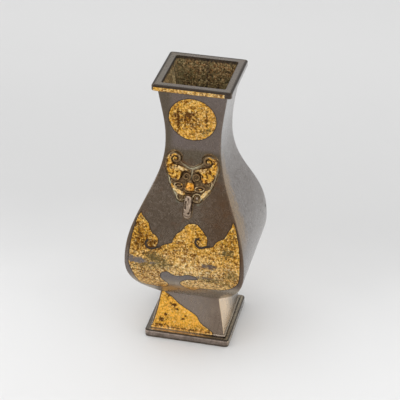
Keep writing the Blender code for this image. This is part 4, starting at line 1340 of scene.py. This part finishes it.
def mask_mesh(cell, softness):
    """The carving as a closed shell: the carved face in front, a flat seat behind, one shared rim."""
    step = cell / MM
    x, y = np.meshgrid(np.arange(-17.2, 17.2 + step, step), np.arange(-18.4, 20.6 + step, step))
    height, edge, fields = mask_relief(x, y, softness)
    keep = edge > -SKIRT
    quads = keep[:-1, :-1] & keep[:-1, 1:] & keep[1:, :-1] & keep[1:, 1:]
    # A face with a single neighbour would pinch the shell.
    beside = np.pad(quads, 1).astype(int)
    quads &= beside[:-2, 1:-1] + beside[2:, 1:-1] + beside[1:-1, :-2] + beside[1:-1, 2:] > 1
    count = np.zeros(x.shape, int)
    for rows in (slice(None, -1), slice(1, None)):
        for columns in (slice(None, -1), slice(1, None)):
            count[rows, columns] += quads

    # the rim, drawn out to the skirt's own line
    rim = (count > 0) & (count < 4)
    slope_y, slope_x = np.gradient(edge, step)
    size = np.maximum(np.hypot(slope_x, slope_y), 0.3)
    shift = np.clip(edge + SKIRT, 0.0, 1.2 * step)
    x = np.where(rim, x - shift * slope_x / size**2, x)
    y = np.where(rim, y - shift * slope_y / size**2, y)
    height = np.where(rim, -MASK_SINK, height)

    # the numbers of the points in front and behind, which share the rim's
    used = count > 0
    number = np.full(x.shape, -1)
    number[used] = np.arange(used.sum())
    behind = np.where(rim, number, -1)
    inner = used & ~rim
    behind[inner] = used.sum() + np.arange(inner.sum())
    rows, columns = np.nonzero(quads)
    around = [(0, 0), (0, 1), (1, 1), (1, 0)]
    faces = np.vstack([
        np.stack([number[rows + up, columns + across] for up, across in around], 1),
        np.stack([behind[rows + up, columns + across] for up, across in around[::-1]], 1),
    ])

    def gather(values):
        return np.concatenate([values[used], values[inner]])

    rise = gather(height)
    rise[used.sum():] = -MASK_SINK - 0.1
    level = EYE_LEVEL + gather(y) * MM
    half, out, up = wall_at(level)
    places = np.stack([gather(x) * MM, -half - rise * MM * out, level + rise * MM * up], 1)
    mesh = bpy.data.meshes.new("mask")
    mesh.from_pydata(places.tolist(), [], faces.tolist())
    for name, values in fields.items():
        write_field(mesh, name, gather(values))
    return mesh


class VASE_OT_masks(bpy.types.Operator):
    """Make the two gilt animal masks on the shoulder"""

    bl_idname = "vase.masks"
    bl_label = "Animal masks"

    def execute(self, context):
        settings = context.scene.vase_masks
        front = mask_mesh(settings.cell, settings.softness)
        front.materials.append(mask_material(context.scene.vase_gilding))
        front.shade_smooth()
        back = front.copy()
        back.transform(Matrix.Rotation(math.pi, 4, "Z"))
        for mesh, name in ((front, "front_mask"), (back, "back_mask")):
            mesh.name = name + "_carving"
            made = new_object(name + "_carving", mesh)
            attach(made, "root")
            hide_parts(name)
        return {"FINISHED"}


class VASE_OT_stage(bpy.types.Operator):
    """Make the plain floor, the soft studio light and the camera"""

    bl_idname = "vase.stage"
    bl_label = "Studio"

    def execute(self, context):
        settings = context.scene.vase_stage
        self.floor(settings)
        self.lights(context.scene, settings)
        self.camera(context.scene, settings)
        context.scene.view_settings.view_transform = "Standard"
        return {"FINISHED"}

    def floor(self, settings):
        """A round floor that curves up into a backdrop."""
        line = [(r, 0.0) for r in (0.1, 0.3, 0.7, 1.3)]
        line += rounded((1.3, 0.5), 0.5, -90, 0, 12)[1:] + [(1.8, 0.8)]
        turns, rings = 48, len(line)
        places = [
            (r * math.cos(a), r * math.sin(a), z)
            for a in (2 * math.pi * i / turns for i in range(turns)) for r, z in line
        ]
        faces = []
        for here in range(0, turns * rings, rings):
            after = (here + rings) % (turns * rings)
            faces.append((turns * rings, here, after))
            faces += [(here + k, here + k + 1, after + k + 1, after + k) for k in range(rings - 1)]
        mesh = bpy.data.meshes.new("studio_floor")
        mesh.from_pydata(places + [(0, 0, 0)], [], faces)
        mesh.shade_smooth()
        mesh.materials.append(floor_material(settings.floor_colour))
        new_object("studio_floor", mesh)

    def lights(self, scene, settings):
        world = bpy.data.worlds.new("studio_surround")
        world.use_nodes = True
        background = world.node_tree.nodes["Background"]
        background.inputs["Color"].default_value = (1.0, 1.0, 1.0, 1.0)
        background.inputs["Strength"].default_value = settings.surround
        scene.world = world
        for name, place, size, share in (
            ("softbox_top", (-0.35, -0.15, 1.5), 1.2, 1.0), ("softbox_left", (-1.3, -0.9, 0.9), 0.9, 0.4),
            ("softbox_right", (1.5, -0.1, 0.7), 1.0, 0.65),
        ):
            data = bpy.data.lights.new(name, "AREA")
            data.shape = "SQUARE"
            data.size = size
            data.energy = share * settings.softbox
            lamp = new_object(name, data)
            lamp.location = place
            lamp.rotation_euler = (Vector((0, 0, 0.08)) - Vector(place)).to_track_quat("-Z", "Y").to_euler()

    def camera(self, scene, settings):
        turn, rise, roll = settings.azimuth, settings.elevation, settings.roll
        back = Vector((math.sin(turn) * math.cos(rise), -math.cos(turn) * math.cos(rise), math.sin(rise)))
        right = Vector((math.cos(turn), math.sin(turn), 0))
        up = back.cross(right)
        target = Vector((0, 0, TOP_LEVEL / 2)) + settings.aside * right + settings.above * up
        tilted_right = right * math.cos(roll) + up * math.sin(roll)
        tilted_up = up * math.cos(roll) - right * math.sin(roll)
        turned = Matrix((tilted_right, tilted_up, back)).transposed().to_4x4()
        data = bpy.data.cameras.new("camera")
        data.lens = settings.lens
        data.sensor_width = 36
        camera = new_object("camera", data)
        camera.matrix_world = Matrix.Translation(target + back * settings.distance) @ turned
        scene.camera = camera


class VASE_PT_panel(bpy.types.Panel):
    """Sizes, colours and makers of the vase"""

    bl_idname = "VASE_PT_panel"
    bl_label = "Gilt bronze square vase"
    bl_space_type = "VIEW_3D"
    bl_region_type = "UI"
    bl_category = "Vase"

    def draw(self, context):
        for label, group, operator in (
            ("Body", context.scene.vase_body, "vase.body"),
            ("Masks", context.scene.vase_masks, "vase.masks"),
            ("Gilding", context.scene.vase_gilding, None),
            ("Studio", context.scene.vase_stage, "vase.stage"),
        ):
            box = self.layout.box()
            box.label(text=label)
            for name in group.__annotations__:
                box.prop(group, name)
            if operator:
                box.operator(operator)


SETTINGS = {
    "vase_body": BodySettings, "vase_gilding": GildingSettings, "vase_masks": MaskSettings,
    "vase_stage": StageSettings,
}
CLASSES = (*SETTINGS.values(), VASE_OT_body, VASE_OT_masks, VASE_OT_stage, VASE_PT_panel)


def register():
    for made in CLASSES:
        bpy.utils.register_class(made)
    for name, group in SETTINGS.items():
        setattr(bpy.types.Scene, name, PointerProperty(type=group))


def unregister():
    for name in SETTINGS:
        delattr(bpy.types.Scene, name)
    for made in reversed(CLASSES):
        bpy.utils.unregister_class(made)


def main():
    register()
    bpy.ops.vase.body()
    bpy.ops.vase.masks()
    bpy.ops.vase.stage()


if __name__ == "__main__":
    main()
